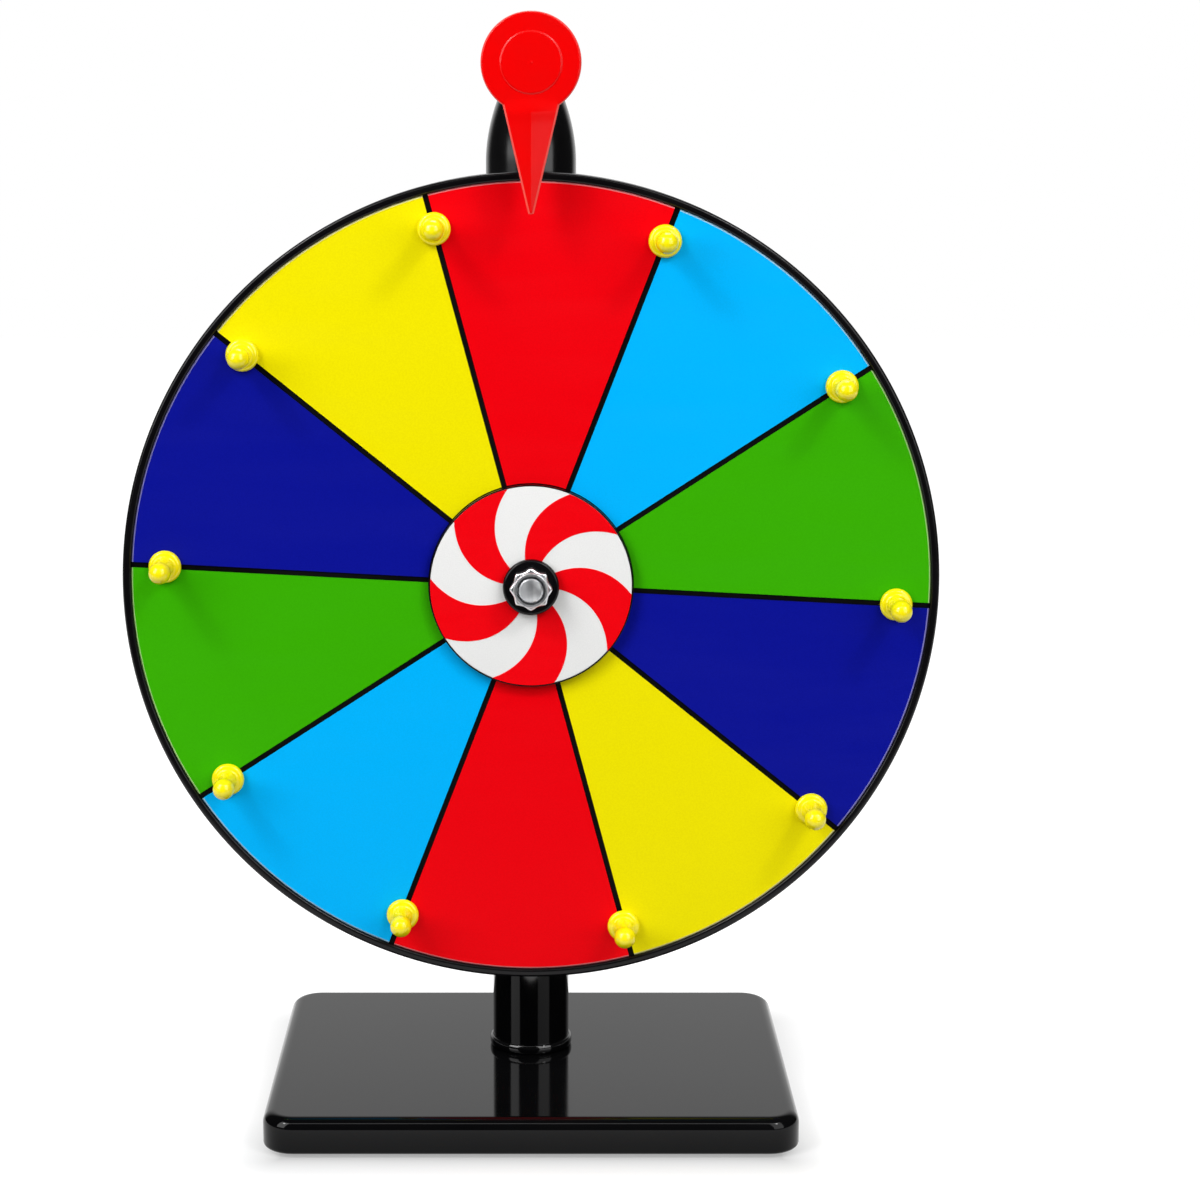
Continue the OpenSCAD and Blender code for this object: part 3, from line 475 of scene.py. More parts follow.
def all_finishes():
    """One material for each finish in the record."""
    skin, metal, film = moulded_skin(), brushed_metal(), write_on_film()
    # Painted highlights: paler colour on the pointer's edges and on the panels' outer arcs
    blade_painted_highlight, film_painted_highlight = painted_highlight_edge("blade_painted_highlight", 0.12, 0.22), painted_highlight_edge("film_painted_highlight", 0.02, 0.045)
    film_gloss, film_specular = (0.3, 0.42), 0.08
    # Name, group, two colours, scales of clouds and grain, range of roughness, relief, and other values
    rows = [
        ("base_gloss", skin, (6, 6, 7), (9, 9, 10), (14, 900), (0.05, 0.09), 0.02, dict(specular=0.175)),
        ("pole_paint", skin, (3, 3, 4), (6, 6, 7), (30, 700), (0.08, 0.12), 0.03, dict(specular=0.68)),
        ("arm_gloss", skin, (6, 6, 7), (10, 10, 11), (40, 900), (0.16, 0.22), 0.06, dict(specular=0.45)),
        ("trim_gloss", skin, (8, 7, 9), (12, 11, 13), (40, 900), (0.18, 0.26), 0.05, dict(specular=0.22)),
        ("hub_plastic", skin, (25, 25, 27), (31, 31, 33), (60, 2600), (0.45, 0.6), 0.4, {}),
        ("board_black", skin, (5, 5, 6), (11, 11, 12), (25, 1800), (0.5, 0.68), 0.35, dict(specular=0.04)),
        ("foot_rubber", skin, (24, 24, 25), (33, 33, 33), (150, 3000), (0.7, 0.85), 0.5, {}),
        ("nylon_white", skin, (228, 227, 222), (218, 216, 208), (150, 2500), (0.4, 0.5), 0.1, {}),
        ("zinc_steel", metal, (222, 223, 225), (196, 198, 201), (120, 400), (0.34, 0.48), 0.15,
         dict(metallic=1, streak=(1, 1, 0.1))),
        ("bearing_steel", metal, (196, 198, 201), (180, 182, 186), (90, 300), (0.1, 0.18), 0.05,
         dict(metallic=1, streak=(1, 0.1, 1))),
        ("spring_wire", metal, (150, 152, 156), (128, 130, 133), (200, 500), (0.25, 0.35), 0.1,
         dict(metallic=1, streak=(1, 1, 1))),
        ("nut_chrome", metal, (226, 227, 229), (204, 205, 208), (160, 900), (0.26, 0.38), 0.12,
         dict(metallic=1, streak=(1, 0.2, 1))),
        ("peg_yellow", skin, (254, 240, 16), (252, 234, 8), (60, 900), (0.12, 0.17), 0.04, {}),
        # The pointer's edges carry a painted highlight in a paler red
        ("pointer_red", skin, (237, 1, 2), (232, 1, 1), (60, 900), (0.22, 0.28), 0.04,
         dict(specular=0.22, edge=(blade_painted_highlight, (255, 92, 84)))),
        ("swirl_white", film, (238, 238, 237), (233, 233, 232), (60, 2200), film_gloss, 0.05,
         dict(specular=film_specular)),
        ("swirl_red", film, (244, 4, 17), (238, 3, 14), (60, 2200), film_gloss, 0.05,
         dict(specular=film_specular)),
    ]
    # Panels: name, two colours, and the paler colour of the painted highlight on the outer edge
    panels = [
        ("panel_red", (240, 1, 14), (235, 1, 12), (255, 138, 142)),
        ("panel_sky", (1, 182, 255), (1, 178, 250), (175, 226, 255)),
        ("panel_green", (58, 175, 2), (55, 170, 2), (188, 240, 145)),
        ("panel_navy", (12, 20, 150), (10, 17, 143), (160, 156, 232)),
        ("panel_yellow", (243, 231, 2), (238, 225, 2), (253, 248, 168)),
    ]
    for name, colour, cloud, highlight_tint in panels:
        extra = dict(specular=film_specular, edge=(film_painted_highlight, highlight_tint))
        rows.append((name, film, colour, cloud, (18, 1600), film_gloss, 0.06, extra))
    return {name: finish(name, *values, **extra) for name, *values, extra in rows}


finishes = all_finishes()


# Stand

def base_corners(inset):
    """Four places on the floor at a distance from the sides of the base."""
    low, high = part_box("base_shell")
    across, along = (low.x + inset, high.x - inset), (low.y + inset, high.y - inset)
    return [Vector((x, y, 0)) for x in across for y in along]


def at_corners(piece, inset):
    """One piece made of copies of a modelled one near the four corners of the base."""
    return copies(piece, [Matrix.Translation(place) for place in base_corners(inset)])


def base_bosses(foot, roof):
    """Bosses under the base, between two heights: four round the feet and four for the plate's screws."""
    pad_r, foot_boss_r, recess = 7.1 * MM, 9.5 * MM, 1 * MM
    foot_boss = turned(
        "foot_boss",
        rounded([(0, foot + recess, 0), (pad_r, foot + recess, 0), (pad_r, foot, 0),
                 (foot_boss_r, foot, 0.4 * MM), (foot_boss_r, roof, 0), (0, roof, 0)]),
        Vector(), UP, 48)
    hole_r, screw_boss_r, end = 1.6 * MM, 4 * MM, roof - 4 * MM
    screw_boss = turned(
        "screw_boss",
        rounded([(hole_r, roof, 0), (hole_r, end, 0), (screw_boss_r, end, 0.3 * MM), (screw_boss_r, roof, 0),
                 (hole_r, roof, 0)]),
        Vector(), UP, 32)
    return at_corners(foot_boss, FOOT_INSET), at_corners(screw_boss, SCREW_INSET)


def base_moulding():
    """Moulded base: rounded corners and top edge, bevelled foot, hollow underneath with bosses."""
    low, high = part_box("base_shell")
    roof, bury = high.z - BASE_TOP_T, 0.1 * MM
    clear_selection()
    bpy.ops.mesh.primitive_cube_add(size=1, location=(low + high) / 2, scale=high - low)
    bpy.ops.object.transform_apply(location=True, rotation=True, scale=True)
    piece = bpy.context.object
    piece.name = "base_moulding"
    bpy.ops.object.mode_set(mode="EDIT")
    pick_edges(piece, lambda a, b: (a - b).xy.length < WELD)
    bpy.ops.mesh.bevel(offset=BASE_CORNER, segments=14, affect="EDGES")
    pick_edges(piece, lambda a, b: min(a.z, b.z) > high.z - WELD)
    bpy.ops.mesh.bevel(offset=BASE_ROUND, segments=10, affect="EDGES")
    pick_edges(piece, lambda a, b: max(a.z, b.z) < low.z + WELD)
    bpy.ops.mesh.bevel(offset=BASE_BEVEL, segments=3, affect="EDGES")
    pick_faces(piece, lambda normal: normal.z > LEVEL)
    bpy.ops.mesh.inset(thickness=0.4 * MM)
    pick_faces(piece, lambda normal: normal.z < -LEVEL)
    bpy.ops.mesh.inset(thickness=BASE_WALL - BASE_BEVEL)
    extrude(UP * (roof - low.z))
    closed(piece, 30)
    fit(joined(piece, *base_bosses(low.z, roof + bury)), "base_shell")


def rubber_feet():
    """Four rubber pads with an eased rim and a shallow dish underneath."""
    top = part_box("rubber_feet")[1].z
    pad_r, rim_r, dish_r, dish_h = 7 * MM, 5 * MM, 4.2 * MM, 0.3 * MM
    pad = turned(
        "rubber_feet",
        rounded([(0, dish_h, 0), (dish_r, dish_h, 0), (rim_r, 0, 0.4 * MM), (pad_r, 0, 0.6 * MM),
                 (pad_r, top, 0.2 * MM), (0, top, 0)]),
        Vector(), UP, 48)
    fit(at_corners(pad, FOOT_INSET), "rubber_feet")


def pole_tube():
    """Painted steel tube with eased ends."""
    low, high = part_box("pole")
    wall, ease = 1.5 * MM, 0.4 * MM
    outer = (high.x - low.x) / 2
    inner = outer - wall
    middle = Vector((0, (low.y + high.y) / 2, 0))
    fit(turned(
        "pole_tube",
        rounded([(inner, low.z, 0), (outer, low.z, ease), (outer, high.z, ease), (inner, high.z, 0),
                 (inner, low.z, 0)]),
        middle, UP), "pole")


def collar_bead():
    """Trim ring at the foot of the pole: a half-round bead."""
    low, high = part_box("collar_ring")
    bulge, fullness, steps = 1.1 * MM, 0.8, 24
    inner = (high.x - low.x) / 2 - bulge
    middle = Vector((0, (low.y + high.y) / 2, (low.z + high.z) / 2))
    half = (high.z - low.z) / 2
    turns = [math.pi * (k / steps - 0.5) for k in range(steps + 1)]
    outline = [(inner + bulge * math.cos(a) ** fullness, half * math.sin(a)) for a in turns]
    fit(turned("collar_bead", outline + [outline[0]], middle, UP), "collar_ring")


# Pointer arm

def leg_pin(name, above, root, end):
    """Small pin with a rounded end, above the pivot, that a leg of the return spring rests on."""
    pin_r = 1.1 * MM
    return turned(
        name, rounded([(0, root, 0), (pin_r, root, 0), (pin_r, end, 0.3 * MM), (0, end, 0)]),
        PIVOT + UP * above, FRONT, 24)


def gooseneck():
    """Moulded arm: a sleeve over the pole, bent forwards through a quarter turn and slimmed to a nose."""
    sleeve_r, nose_r, sleeve_l, bend_r = 17 * MM, 10 * MM, 36 * MM, 36 * MM
    slimming, power = 1.3, 4
    pole_low, pole_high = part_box("pole")
    pole_y = (pole_low.y + pole_high.y) / 2
    bore_r, bore_l = (pole_high.x - pole_low.x) / 2 + 0.1 * MM, sleeve_l - 4 * MM
    bend = Vector((0, pole_y - bend_r, PIVOT.z - bend_r))
    nose_y = AXLE.y - 4 * MM
    foot = Vector((0, pole_y, bend.z - sleeve_l))
    clear_selection()
    bpy.ops.mesh.primitive_circle_add(vertices=96, radius=sleeve_r, location=foot)
    bpy.ops.object.transform_apply(location=True)
    piece = bpy.context.object
    piece.name = "gooseneck"
    bpy.ops.object.mode_set(mode="EDIT")
    extrude(UP * sleeve_l)
    bpy.ops.mesh.spin(steps=48, angle=-math.radians(90), center=bend, axis=(1, 0, 0))
    bpy.ops.object.mode_set(mode="OBJECT")
    for corner in piece.data.vertices:
        rise = corner.co.z - bend.z
        if rise < WELD:
            continue
        turn = math.atan2(rise, corner.co.y - bend.y)
        middle = Vector((0, bend.y + bend_r * math.cos(turn), bend.z + bend_r * math.sin(turn)))
        sleeve_share, nose_share = sleeve_r * max(math.cos(turn), 0) ** slimming, nose_r * math.sin(turn)
        wide = (sleeve_share ** power + nose_share ** power) ** (1 / power)
        corner.co = middle + (corner.co - middle) * (wide / sleeve_r)
    bpy.ops.object.mode_set(mode="EDIT")
    pick_edges(piece, lambda a, b: max(a.y, b.y) < bend.y + WELD)
    extrude(FRONT * (bend.y - nose_y))
    bpy.ops.mesh.edge_face_add()
    bpy.ops.mesh.inset(thickness=0.5 * MM)
    pick_edges(piece, lambda a, b: max(a.z, b.z) < foot.z + WELD)
    extrude(Vector())
    shrink = bore_r / sleeve_r
    bpy.ops.transform.resize(value=(shrink, shrink, 1), center_override=foot)
    extrude(UP * bore_l)
    bpy.ops.mesh.edge_face_add()
    closed(piece)
    bevelled(piece, 0.6 * MM, 3, 50)
    smoothed(cleaned(piece), 35)
    fit(joined(piece, leg_pin("spring_pin", 8.2 * MM, 3.5 * MM, 10.6 * MM)), "pointer_arm")


def spring_coil():
    """Round wire of the return spring, with its two straight legs."""
    wire_r, coil_r, turns, pitch = 0.45 * MM, 6.2 * MM, 3, 1.35 * MM
    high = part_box("pointer_spring")[1]
    start = AXLE.y - high.y + wire_r
    leg_x, leg_y = 1.65 * MM, high.z - PIVOT.z
    leg_turn = math.asin(leg_x / coil_r)
    sweep = math.tau * turns - 2 * leg_turn
    steps = 24 * turns
    route = [Vector((-leg_x, leg_y, start))]
    for k in range(steps + 1):
        a = math.pi / 2 + leg_turn + sweep * k / steps
        route.append(Vector((coil_r * math.cos(a), coil_r * math.sin(a), start + pitch * turns * k / steps)))
    route.append(Vector((leg_x, leg_y, start + pitch * turns)))
    piece = drawn("spring_coil", [PIVOT + Vector((p.x, -p.z, p.y)) for p in route])
    bpy.ops.object.mode_set(mode="OBJECT")
    bpy.ops.object.convert(target="CURVE")
    piece = bpy.context.object
    piece.data.bevel_depth = wire_r
    piece.data.bevel_resolution = 4
    piece.data.use_fill_caps = True
    bpy.ops.object.convert(target="MESH")
    piece = bpy.context.object
    bpy.ops.object.shade_smooth()
    fit(piece, "pointer_spring")


# Screws and bolts

def cross_screw(name, shank_r, head_r, head_h, shank_l):
    """A pan-head screw with a cross recess, standing on the origin with its head along -Y."""
    dome = (head_r ** 2 + head_h ** 2) / (2 * head_h)
    rim = math.degrees(math.asin((head_r - 0.2 * MM) / dome))
    outline = [(0, -shank_l), (shank_r * 0.5, -shank_l), (shank_r, -shank_l + shank_r), (shank_r, 0)]
    outline += [(head_r, 0)] + arc((0, head_h - dome), dome, 90 - rim, 90, 10)
    screw = turned(name, outline, Vector(), FRONT, 48)
    slot = (head_r * 1.1, head_h * 1.1, head_r * 0.26)
    for turn in (0, 90):
        clear_selection()
        bpy.ops.mesh.primitive_cube_add(
            size=1, location=FRONT * head_h, rotation=(0, math.radians(turn), 0), scale=slot)
        bpy.ops.object.transform_apply(location=True, rotation=True, scale=True)
        combine(screw, bpy.context.object, "DIFFERENCE")
    return smoothed(screw, 30)


def rear_screws(node, shank_r, head_h, places):
    """Screws with their heads at the back, at places given by height, distance to the right and turn."""
    low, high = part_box(node)
    seat_y = high.y - head_h
    screw = cross_screw(node, shank_r, 2 * shank_r, head_h, seat_y - low.y)
    backwards = Matrix.Rotation(math.pi, 4, "Z")
    moves = [
        Matrix.Translation((right, seat_y, height)) @ Matrix.Rotation(turn, 4, "Y") @ backwards
        for height, right, turn in places]
    fit(copies(screw, moves), node)


def arm_screws():
    """Two screws through the back of the sleeve, one above the other."""
    low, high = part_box("arm_screws")
    middle, half_apart = (low.z + high.z) / 2, 7 * MM
    places = [(middle - half_apart, 0, 0), (middle + half_apart, 0, 0)]
    rear_screws("arm_screws", 1.75 * MM, 2.45 * MM, places)


def hub_screws():
    """Four screws that clamp the hub's flanges, seen at the back of the wheel."""
    circle_r = 24 * MM
    turns = [math.radians(45 + 90 * k) for k in range(4)]
    places = [(AXLE.z + circle_r * math.sin(a), circle_r * math.cos(a), a) for a in turns]
    rear_screws("hub_screws", 1.5 * MM, 2.1 * MM, places)


def ballast_screws():
    """Four screws that hold the ballast plate, seen under the base."""
    low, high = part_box("ballast_screws")
    shank_r, head_r, head_h = 1.5 * MM, 6 * MM, 2 * MM
    screw = cross_screw("ballast_screws", shank_r, head_r, head_h, high.z - low.z - head_h)
    turn = Matrix.Rotation(math.radians(90), 4, "X")
    seat = Vector((0, 0, low.z + head_h))
    moves = [Matrix.Translation(place + seat) @ turn for place in base_corners(SCREW_INSET)]
    fit(copies(screw, moves), "ballast_screws")


# Wheel

def round_axle(count):
    """Moves that set copies evenly round the axle."""
    turns = [Matrix.Rotation(math.tau * k / count, 4, "Y") for k in range(count)]
    return [Matrix.Translation(AXLE) @ turn @ Matrix.Translation(-AXLE) for turn in turns]


def line_turn(k):
    """Turn of the line at the right of panel k, where its peg stands too; panel 0 is at the top."""
    return REST_TURN + SECTOR * (2 - k)


def bearing_balls(node, name):
    """Polished balls of one bearing, evenly spaced between its races."""
    low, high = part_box(node)
    balls, ball_r = 8, (high.y - low.y) / 2
    circle_r = (high.x - low.x) / 2 - ball_r
    centre = Vector((AXLE.x + circle_r, (low.y + high.y) / 2, AXLE.z))
    ball = turned(name, arc((0, 0), ball_r, -90, 90, 24), centre, FRONT, 48)
    fit(copies(ball, round_axle(balls)), node)


def rim_edging():
    """Channel round the edge of the board, with rounded outer edges and soft lips."""
    outer, back, front = span("rim_trim")
    board_back = AXLE.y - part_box("wheel_board")[1].y
    lip, wall = outer - RIM_LIP, outer - RIM_WALL
    fit(turned(
        "rim_edging",
        rounded([(lip, 0, 0), (lip, front, 1.0 * MM), (outer, front, 1.2 * MM), (outer, back, 1.2 * MM),
                 (lip, back, 0.5 * MM), (lip, board_back, 0), (wall, board_back, 0), (wall, 0, 0),
                 (lip, 0, 0)]),
        AXLE, FRONT, 256), "rim_trim")


def panel(k):
    """One write-on panel: a ring sector, trimmed back from its two lines, sloped off at its outer arc."""
    name = f"panel_{k + 1:02d}"
    back, front = span(name)[1:]
    border_w, border_h, clearance = 0.6 * MM, 0.2 * MM, 0.1 * MM
    outer = span("rim_trim")[0] - RIM_LIP - clearance
    first = line_turn(k)
    along = direction(first)
    centre = AXLE + FRONT * back
    piece = drawn(f"write_on_{k + 1:02d}", [centre + along * PANEL_INNER_R, centre + along * outer])
    spin(48, SECTOR, centre, FRONT)
    for turn, side in ((first, 1), (first + SECTOR, -1)):
        inwards = side * Vector((-math.sin(turn), 0, math.cos(turn)))
        select_whole()
        bpy.ops.mesh.bisect(plane_co=centre + inwards * LINE_W / 2, plane_no=inwards, clear_inner=True)
    select_whole()
    bpy.ops.mesh.dissolve_limited(angle_limit=math.radians(0.1))
    select_whole()
    extrude(FRONT * (front - back - border_h))
    extrude(FRONT * border_h)
    closed(piece, 10)
    for corner in piece.data.vertices:
        reach = Vector((corner.co.x - AXLE.x, 0, corner.co.z - AXLE.z))
        if corner.co.y < AXLE.y - front + WELD and reach.length > outer - border_w:
            corner.co -= reach.normalized() * border_w
    fit(piece, name)


def peg(k):
    """One peg: a stem in the board, a rounded flange, a tapered shank with a flared foot, and a ball."""
    name = f"peg_{k + 1:02d}"
    reach = span("rim_trim")[0] - PEG_INSET
    centre = AXLE + reach * direction(line_turn(k))
    back, front = span(name)[1:]
    seat, flange_t, flange_r, stem_r = 0.4 * MM, 2.6 * MM, 6.1 * MM, 2.7 * MM
    ball_r, foot_r, neck_r = 4 * MM, 3.5 * MM, 3.0 * MM
    top = seat + flange_t
    ball = front - ball_r
    neck = ball - math.sqrt(ball_r ** 2 - neck_r ** 2)
    meet = math.degrees(math.asin((neck - ball) / ball_r))
    outline = rounded([
        (0, back, 0), (stem_r, back, 0.3 * MM), (stem_r, seat, 0), (flange_r, seat, 0.9 * MM),
        (flange_r, top, 1.5 * MM), (foot_r, top, 1.3 * MM), (neck_r, neck - 0.4 * MM, 0)])
    outline += arc((0, ball), ball_r, meet + 6, 90, 16)
    fit(turned(f"peg_pin_{k + 1:02d}", outline, centre, FRONT, 48), name)


def hub_flange():
    """Front flange of the hub: a thin rim round a shallow well, and a housing with a seat for the bearing."""
    outer, back, front = span("hub_front")
    rim, well, open_r, bearing_r, housing_r = 0.4 * MM, 0.6 * MM, 9 * MM, 12 * MM, 16 * MM
    seat = back + 6.9 * MM
    fit(turned(
        "hub_flange_front",
        rounded([(bearing_r, back, 0), (housing_r, back, 0.4 * MM), (housing_r, 0, 0), (outer, 0, 0.1 * MM),
                 (outer, front, 0.2 * MM), (outer - rim, front, 0), (outer - rim, front - well, 0),
                 (open_r, front - well, 0), (open_r, seat, 0), (bearing_r, seat, 0), (bearing_r, back, 0)]),
        AXLE, FRONT, 192), "hub_front")


def swirl():
    """White printed disc with five red blades that curl in from its edge."""
    outer, back, front = span("swirl_disc")
    inner, bury, border, steps = 9.4 * MM, 0.05 * MM, 0.05 * MM, 32
    fit(turned(
        "swirl_disc_print",
        rounded([(inner, back, 0), (outer, back, 0), (outer, front, 0.4 * MM), (inner, front, 0),
                 (inner, back, 0)]),
        AXLE, FRONT, 160), "swirl_disc")
    blades, curl, bend, phase = 5, math.radians(40), 1.6, math.radians(103.4)
    reach = span("swirl_blades")[2]
    rim = outer - border
    edge = []
    for k in range(steps + 1):
        r = inner + (rim - inner) * k / steps
        a = phase + curl * (1 - (r / rim) ** bend)
        edge.append(AXLE + FRONT * (front - bury) + r * direction(a))
    piece = drawn("swirl_blades_print", edge)
    spin(24, math.tau / blades / 2, AXLE, FRONT)
    select_whole()
    extrude(FRONT * (reach - front + bury))
    closed(piece, 30)
    fit(copies(piece, round_axle(blades)), "swirl_blades")


def hub_bush():
    """Black flanged bush in front of the hub, with a soft edge and a bore for the axle."""
    outer, back, front = span("hub_washer")
    neck_r, bore_r = 6 * MM, 4.6 * MM
    seat = front - 2.5 * MM
    fit(turned(
        "hub_bush",
        rounded([(bore_r, back, 0), (neck_r, back, 0), (neck_r, seat, 0), (outer, seat, 0.4 * MM),
                 (outer, front, 1.1 * MM), (bore_r, front, 0.2 * MM), (bore_r, back, 0)]),
        AXLE, FRONT, 128), "hub_washer")


def star_nut():
    """Eight-point lock nut: scalloped star with blunt points and a sloped edge, and a recessed collar."""
    outer, back, front = span("star_nut")
    collar_h, collar_r, recess_r, bore_r = 1.9 * MM, 6.5 * MM, 5.35 * MM, 4.55 * MM
    points, hollow_r, slope_w, slope_h = 8, 6.9 * MM, 0.55 * MM, 0.4 * MM
    blunt, scallop = 0.9, 1.6
    top = front - collar_h
    root, floor, beyond = top - 0.5 * MM, back + 0.8 * MM, front + 0.3 * MM
    step = math.tau / points
    outline = []
    for k in range(points):
        for share in (0.05, 0.2, 0.35, 0.5, 0.65, 0.8, 0.95):
            reach = hollow_r + (outer - hollow_r) * (abs(2 * share - 1) / blunt) ** scallop
            outline.append(AXLE + FRONT * back + reach * direction(math.pi / 2 + step * (k + share)))
    piece = drawn("star_lock_nut", outline)
    select_whole()
    bpy.ops.mesh.edge_face_add()
    extrude(FRONT * (top - back - slope_h))
    bpy.ops.mesh.inset(thickness=slope_w)
    bpy.ops.transform.translate(value=FRONT * slope_h)
    closed(piece, 30)
    bevelled(piece, 0.12 * MM, 2, 20)
    collar = turned(
        "nut_collar",
        rounded([(0, root, 0), (collar_r, root, 0), (collar_r, front, 0.4 * MM), (0, front, 0)]),
        AXLE, FRONT, 96)
    combine(piece, collar, "UNION")
    bore = turned(
        "nut_bore",
        rounded([(0, back - MM, 0), (bore_r, back - MM, 0), (bore_r, floor, 0), (recess_r, floor, 0),
                 (recess_r, front - 0.1 * MM, 0.3 * MM), (recess_r + 0.4 * MM, beyond, 0), (0, beyond, 0)]),
        AXLE, FRONT, 96)
    combine(piece, bore, "DIFFERENCE")
    fit(smoothed(piece, 28, by_area=True), "star_nut")


def axle_bolt():
    """Long hexagon bolt through the pole, its front end faced flat with a chamfer and a slight crown."""
    low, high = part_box("axle_bolt")
    back, front = AXLE.y - high.y, AXLE.y - low.y
    shank_r, head_h, flats = 4.5 * MM, 5.8 * MM, 14 * MM
    crown, chamfer, bury, steps = 0.5 * MM, 0.5 * MM, 0.5 * MM, 6
    seat, end_r, cone_r = back + head_h, shank_r - chamfer, flats / 2 + 2.2 * MM
    outline = [(0, seat - bury), (shank_r, seat - bury), (shank_r, front - crown - chamfer),
               (end_r, front - crown)]
    outline += [(end_r * (1 - k / steps), front - crown * (1 - k / steps) ** 2) for k in range(1, steps + 1)]
    shank = turned("axle_bolt_turned", outline, AXLE, FRONT, 64)
    clear_selection()
    bpy.ops.mesh.primitive_cylinder_add(
        vertices=6, radius=flats / math.sqrt(3), depth=head_h, location=AXLE + FRONT * (back + head_h / 2),
        rotation=(math.radians(90), 0, 0))
    bpy.ops.object.transform_apply(location=True, rotation=True)
    head = bpy.context.object
    cone = turned(
        "head_chamfer",
        [(0, back - MM), (flats / 2 - 1.2 * MM, back - 0.6 * MM), (cone_r, back + 1.4 * MM),
         (cone_r, seat + MM), (0, seat + MM)],
        AXLE, FRONT, 96)
    combine(head, cone, "INTERSECT")
    bevelled(head, 0.2 * MM, 2, 30)
    fit(smoothed(combine(shank, head, "UNION"), 28), "axle_bolt")


# Pointer

def smooth_step(value, start, end):
    """Eases from 0 to 1 as a value goes from start to end."""
    share = min(max((value - start) / (end - start), 0), 1)
    return share * share * (3 - 2 * share)


def ridged_blade(length, flush):
    """Tapered blade: two faces that meet in a ridge, a chamfer along the edges and a rounded tip."""
    tip_r, end_round, blade_t, chamfer = 1.2 * MM, 0.7 * MM, 2.6 * MM, 0.7 * MM
    taper, slope = math.radians(13.4), math.radians(11)
    root, head_r = 11.4 * MM, span("pointer")[0]
    ridge_share, rise_start, rise_end = 0.78, 12 * MM, 18.5 * MM
    edge_share, fall_start, fall_end = 0.22, head_r + 0.2 * MM, head_r + 5 * MM
    chamfer_share = 0.65
    apex = length - tip_r + tip_r / math.sin(taper)
    steps, end_steps = 60, 8
    drops = [root + (length - end_round - root) * k / steps for k in range(steps)]
    end_turns = [math.pi / 2 * k / end_steps for k in range(end_steps + 1)]
    drops += [length - end_round + end_round * math.sin(turn) for turn in end_turns]
    # Cross-section: side from -2 to 2 and level from the back, 0, to the front, 2, counted in marks of 1 mm
    marks = [(-2, 0), (2, 0), (2, 1), (1, 2), (0, 2), (-1, 2), (-2, 1)]
    blade = drawn("blade", [PIVOT + MM * Vector((side, -level, 0)) - UP * root for side, level in marks])
    select_whole()
    bpy.ops.mesh.edge_face_add()
    for above, below in zip(drops, drops[1:]):
        extrude(UP * (above - below))
    bpy.ops.object.mode_set(mode="OBJECT")
    for corner in blade.data.vertices:
        drop = PIVOT.z - corner.co.z
        side, level = round(corner.co.x / MM), round((PIVOT.y - corner.co.y) / MM)
        turn = min(max((drop - length + end_round) / end_round, 0), 1)
        drawn_in = 1 - math.sqrt(1 - turn * turn)
        half = (apex - drop) * math.tan(taper) - end_round * drawn_in
        edge = min(chamfer, chamfer_share * half)
        across = {0: 0, 1: half - edge, 2: half}[abs(side)]
        rise = ridge_share * smooth_step(drop, rise_start, rise_end)
        fall = edge_share * smooth_step(math.hypot(across, drop), fall_start, fall_end)
        lift = (-fall if side else rise) * half * math.tan(slope)
        depth = {0: flush - blade_t, 1: flush + lift - edge, 2: flush + lift - edge * drawn_in}[level]
        corner.co.x = math.copysign(across, side)
        corner.co.y = PIVOT.y - depth
    bpy.ops.object.mode_set(mode="EDIT")
    return closed(blade, 20)


def pointer_blade():
    """Red moulded pointer: a hollow round head whose face runs out into a ridged blade with a blunt tip."""
    outer, back = span("pointer")[:2]
    front = span("pointer_cap")[2] - CAP_RISE
    length = PIVOT.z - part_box("pointer")[0].z
    wall, face, recess_r, recess = 2 * MM, 4 * MM, 11.13 * MM, 2.3 * MM
    hub_r, bore_r, bury = 4.8 * MM, 3.05 * MM, 0.02 * MM
    inside, floor = front - face, front - recess
    head = turned(
        "pointer_blade",
        rounded([(bore_r, back, 0), (hub_r, back, 0.3 * MM), (hub_r, inside, 0), (outer - wall, inside, 0),
                 (outer - wall, back, 0.4 * MM), (outer, back, 0.5 * MM), (outer, front, 0.9 * MM),
                 (recess_r, front, 0), (recess_r, floor, 0), (bore_r, floor, 0), (bore_r, back, 0)]),
        PIVOT, FRONT, 160)
    piece = combine(head, ridged_blade(length, front - bury), "UNION")
    smoothed(piece, 16, by_area=True)
    pin = leg_pin("moving_pin", 11.6 * MM, inside + 0.5 * MM, back + 0.4 * MM)
    fit(joined(piece, pin), "pointer")


def pivot_cap():
    """Round cap over the pivot screw: a low step up from the head's face, and its moulding gate's mark."""
    outer, back, front = span("pointer_cap")
    inner, skin = outer - 1.2 * MM, 1.2 * MM
    face = front - CAP_RISE + 0.01 * MM
    lip_r, step_w, step_h, steps = outer + 0.25 * MM, 0.8 * MM, 0.35 * MM, 12
    gate_r, gate_h = 0.5 * MM, 0.08 * MM
    top = face + step_h
    outline = [(0, top - skin), (inner, top - skin), (inner, back), (outer, back)]
    outline += [(outer, face), (lip_r, face)]
    for k in range(1, steps + 1):
        outline.append((lip_r - step_w * k / steps, face + step_h * smooth_step(k, 0, steps)))
    outline += [(lip_r - 1.5 * step_w, top), (2 * gate_r, top), (gate_r, top)]
    outline += [(gate_r * 0.6, top + gate_h), (0, top + gate_h)]
    fit(turned("pivot_cap", outline, PIVOT, FRONT, 128), "pointer_cap")


base_moulding()
rubber_feet()
pole_tube()
collar_bead()
gooseneck()
spring_coil()
arm_screws()
hub_screws()
ballast_screws()
rim_edging()
for k in range(SECTORS):
    panel(k)
    peg(k)
hub_flange()
swirl()
hub_bush()
pointer_blade()
pivot_cap()
star_nut()
axle_bolt()
bearing_balls("balls_front", "ball_set_front")
bearing_balls("balls_rear", "ball_set_rear")

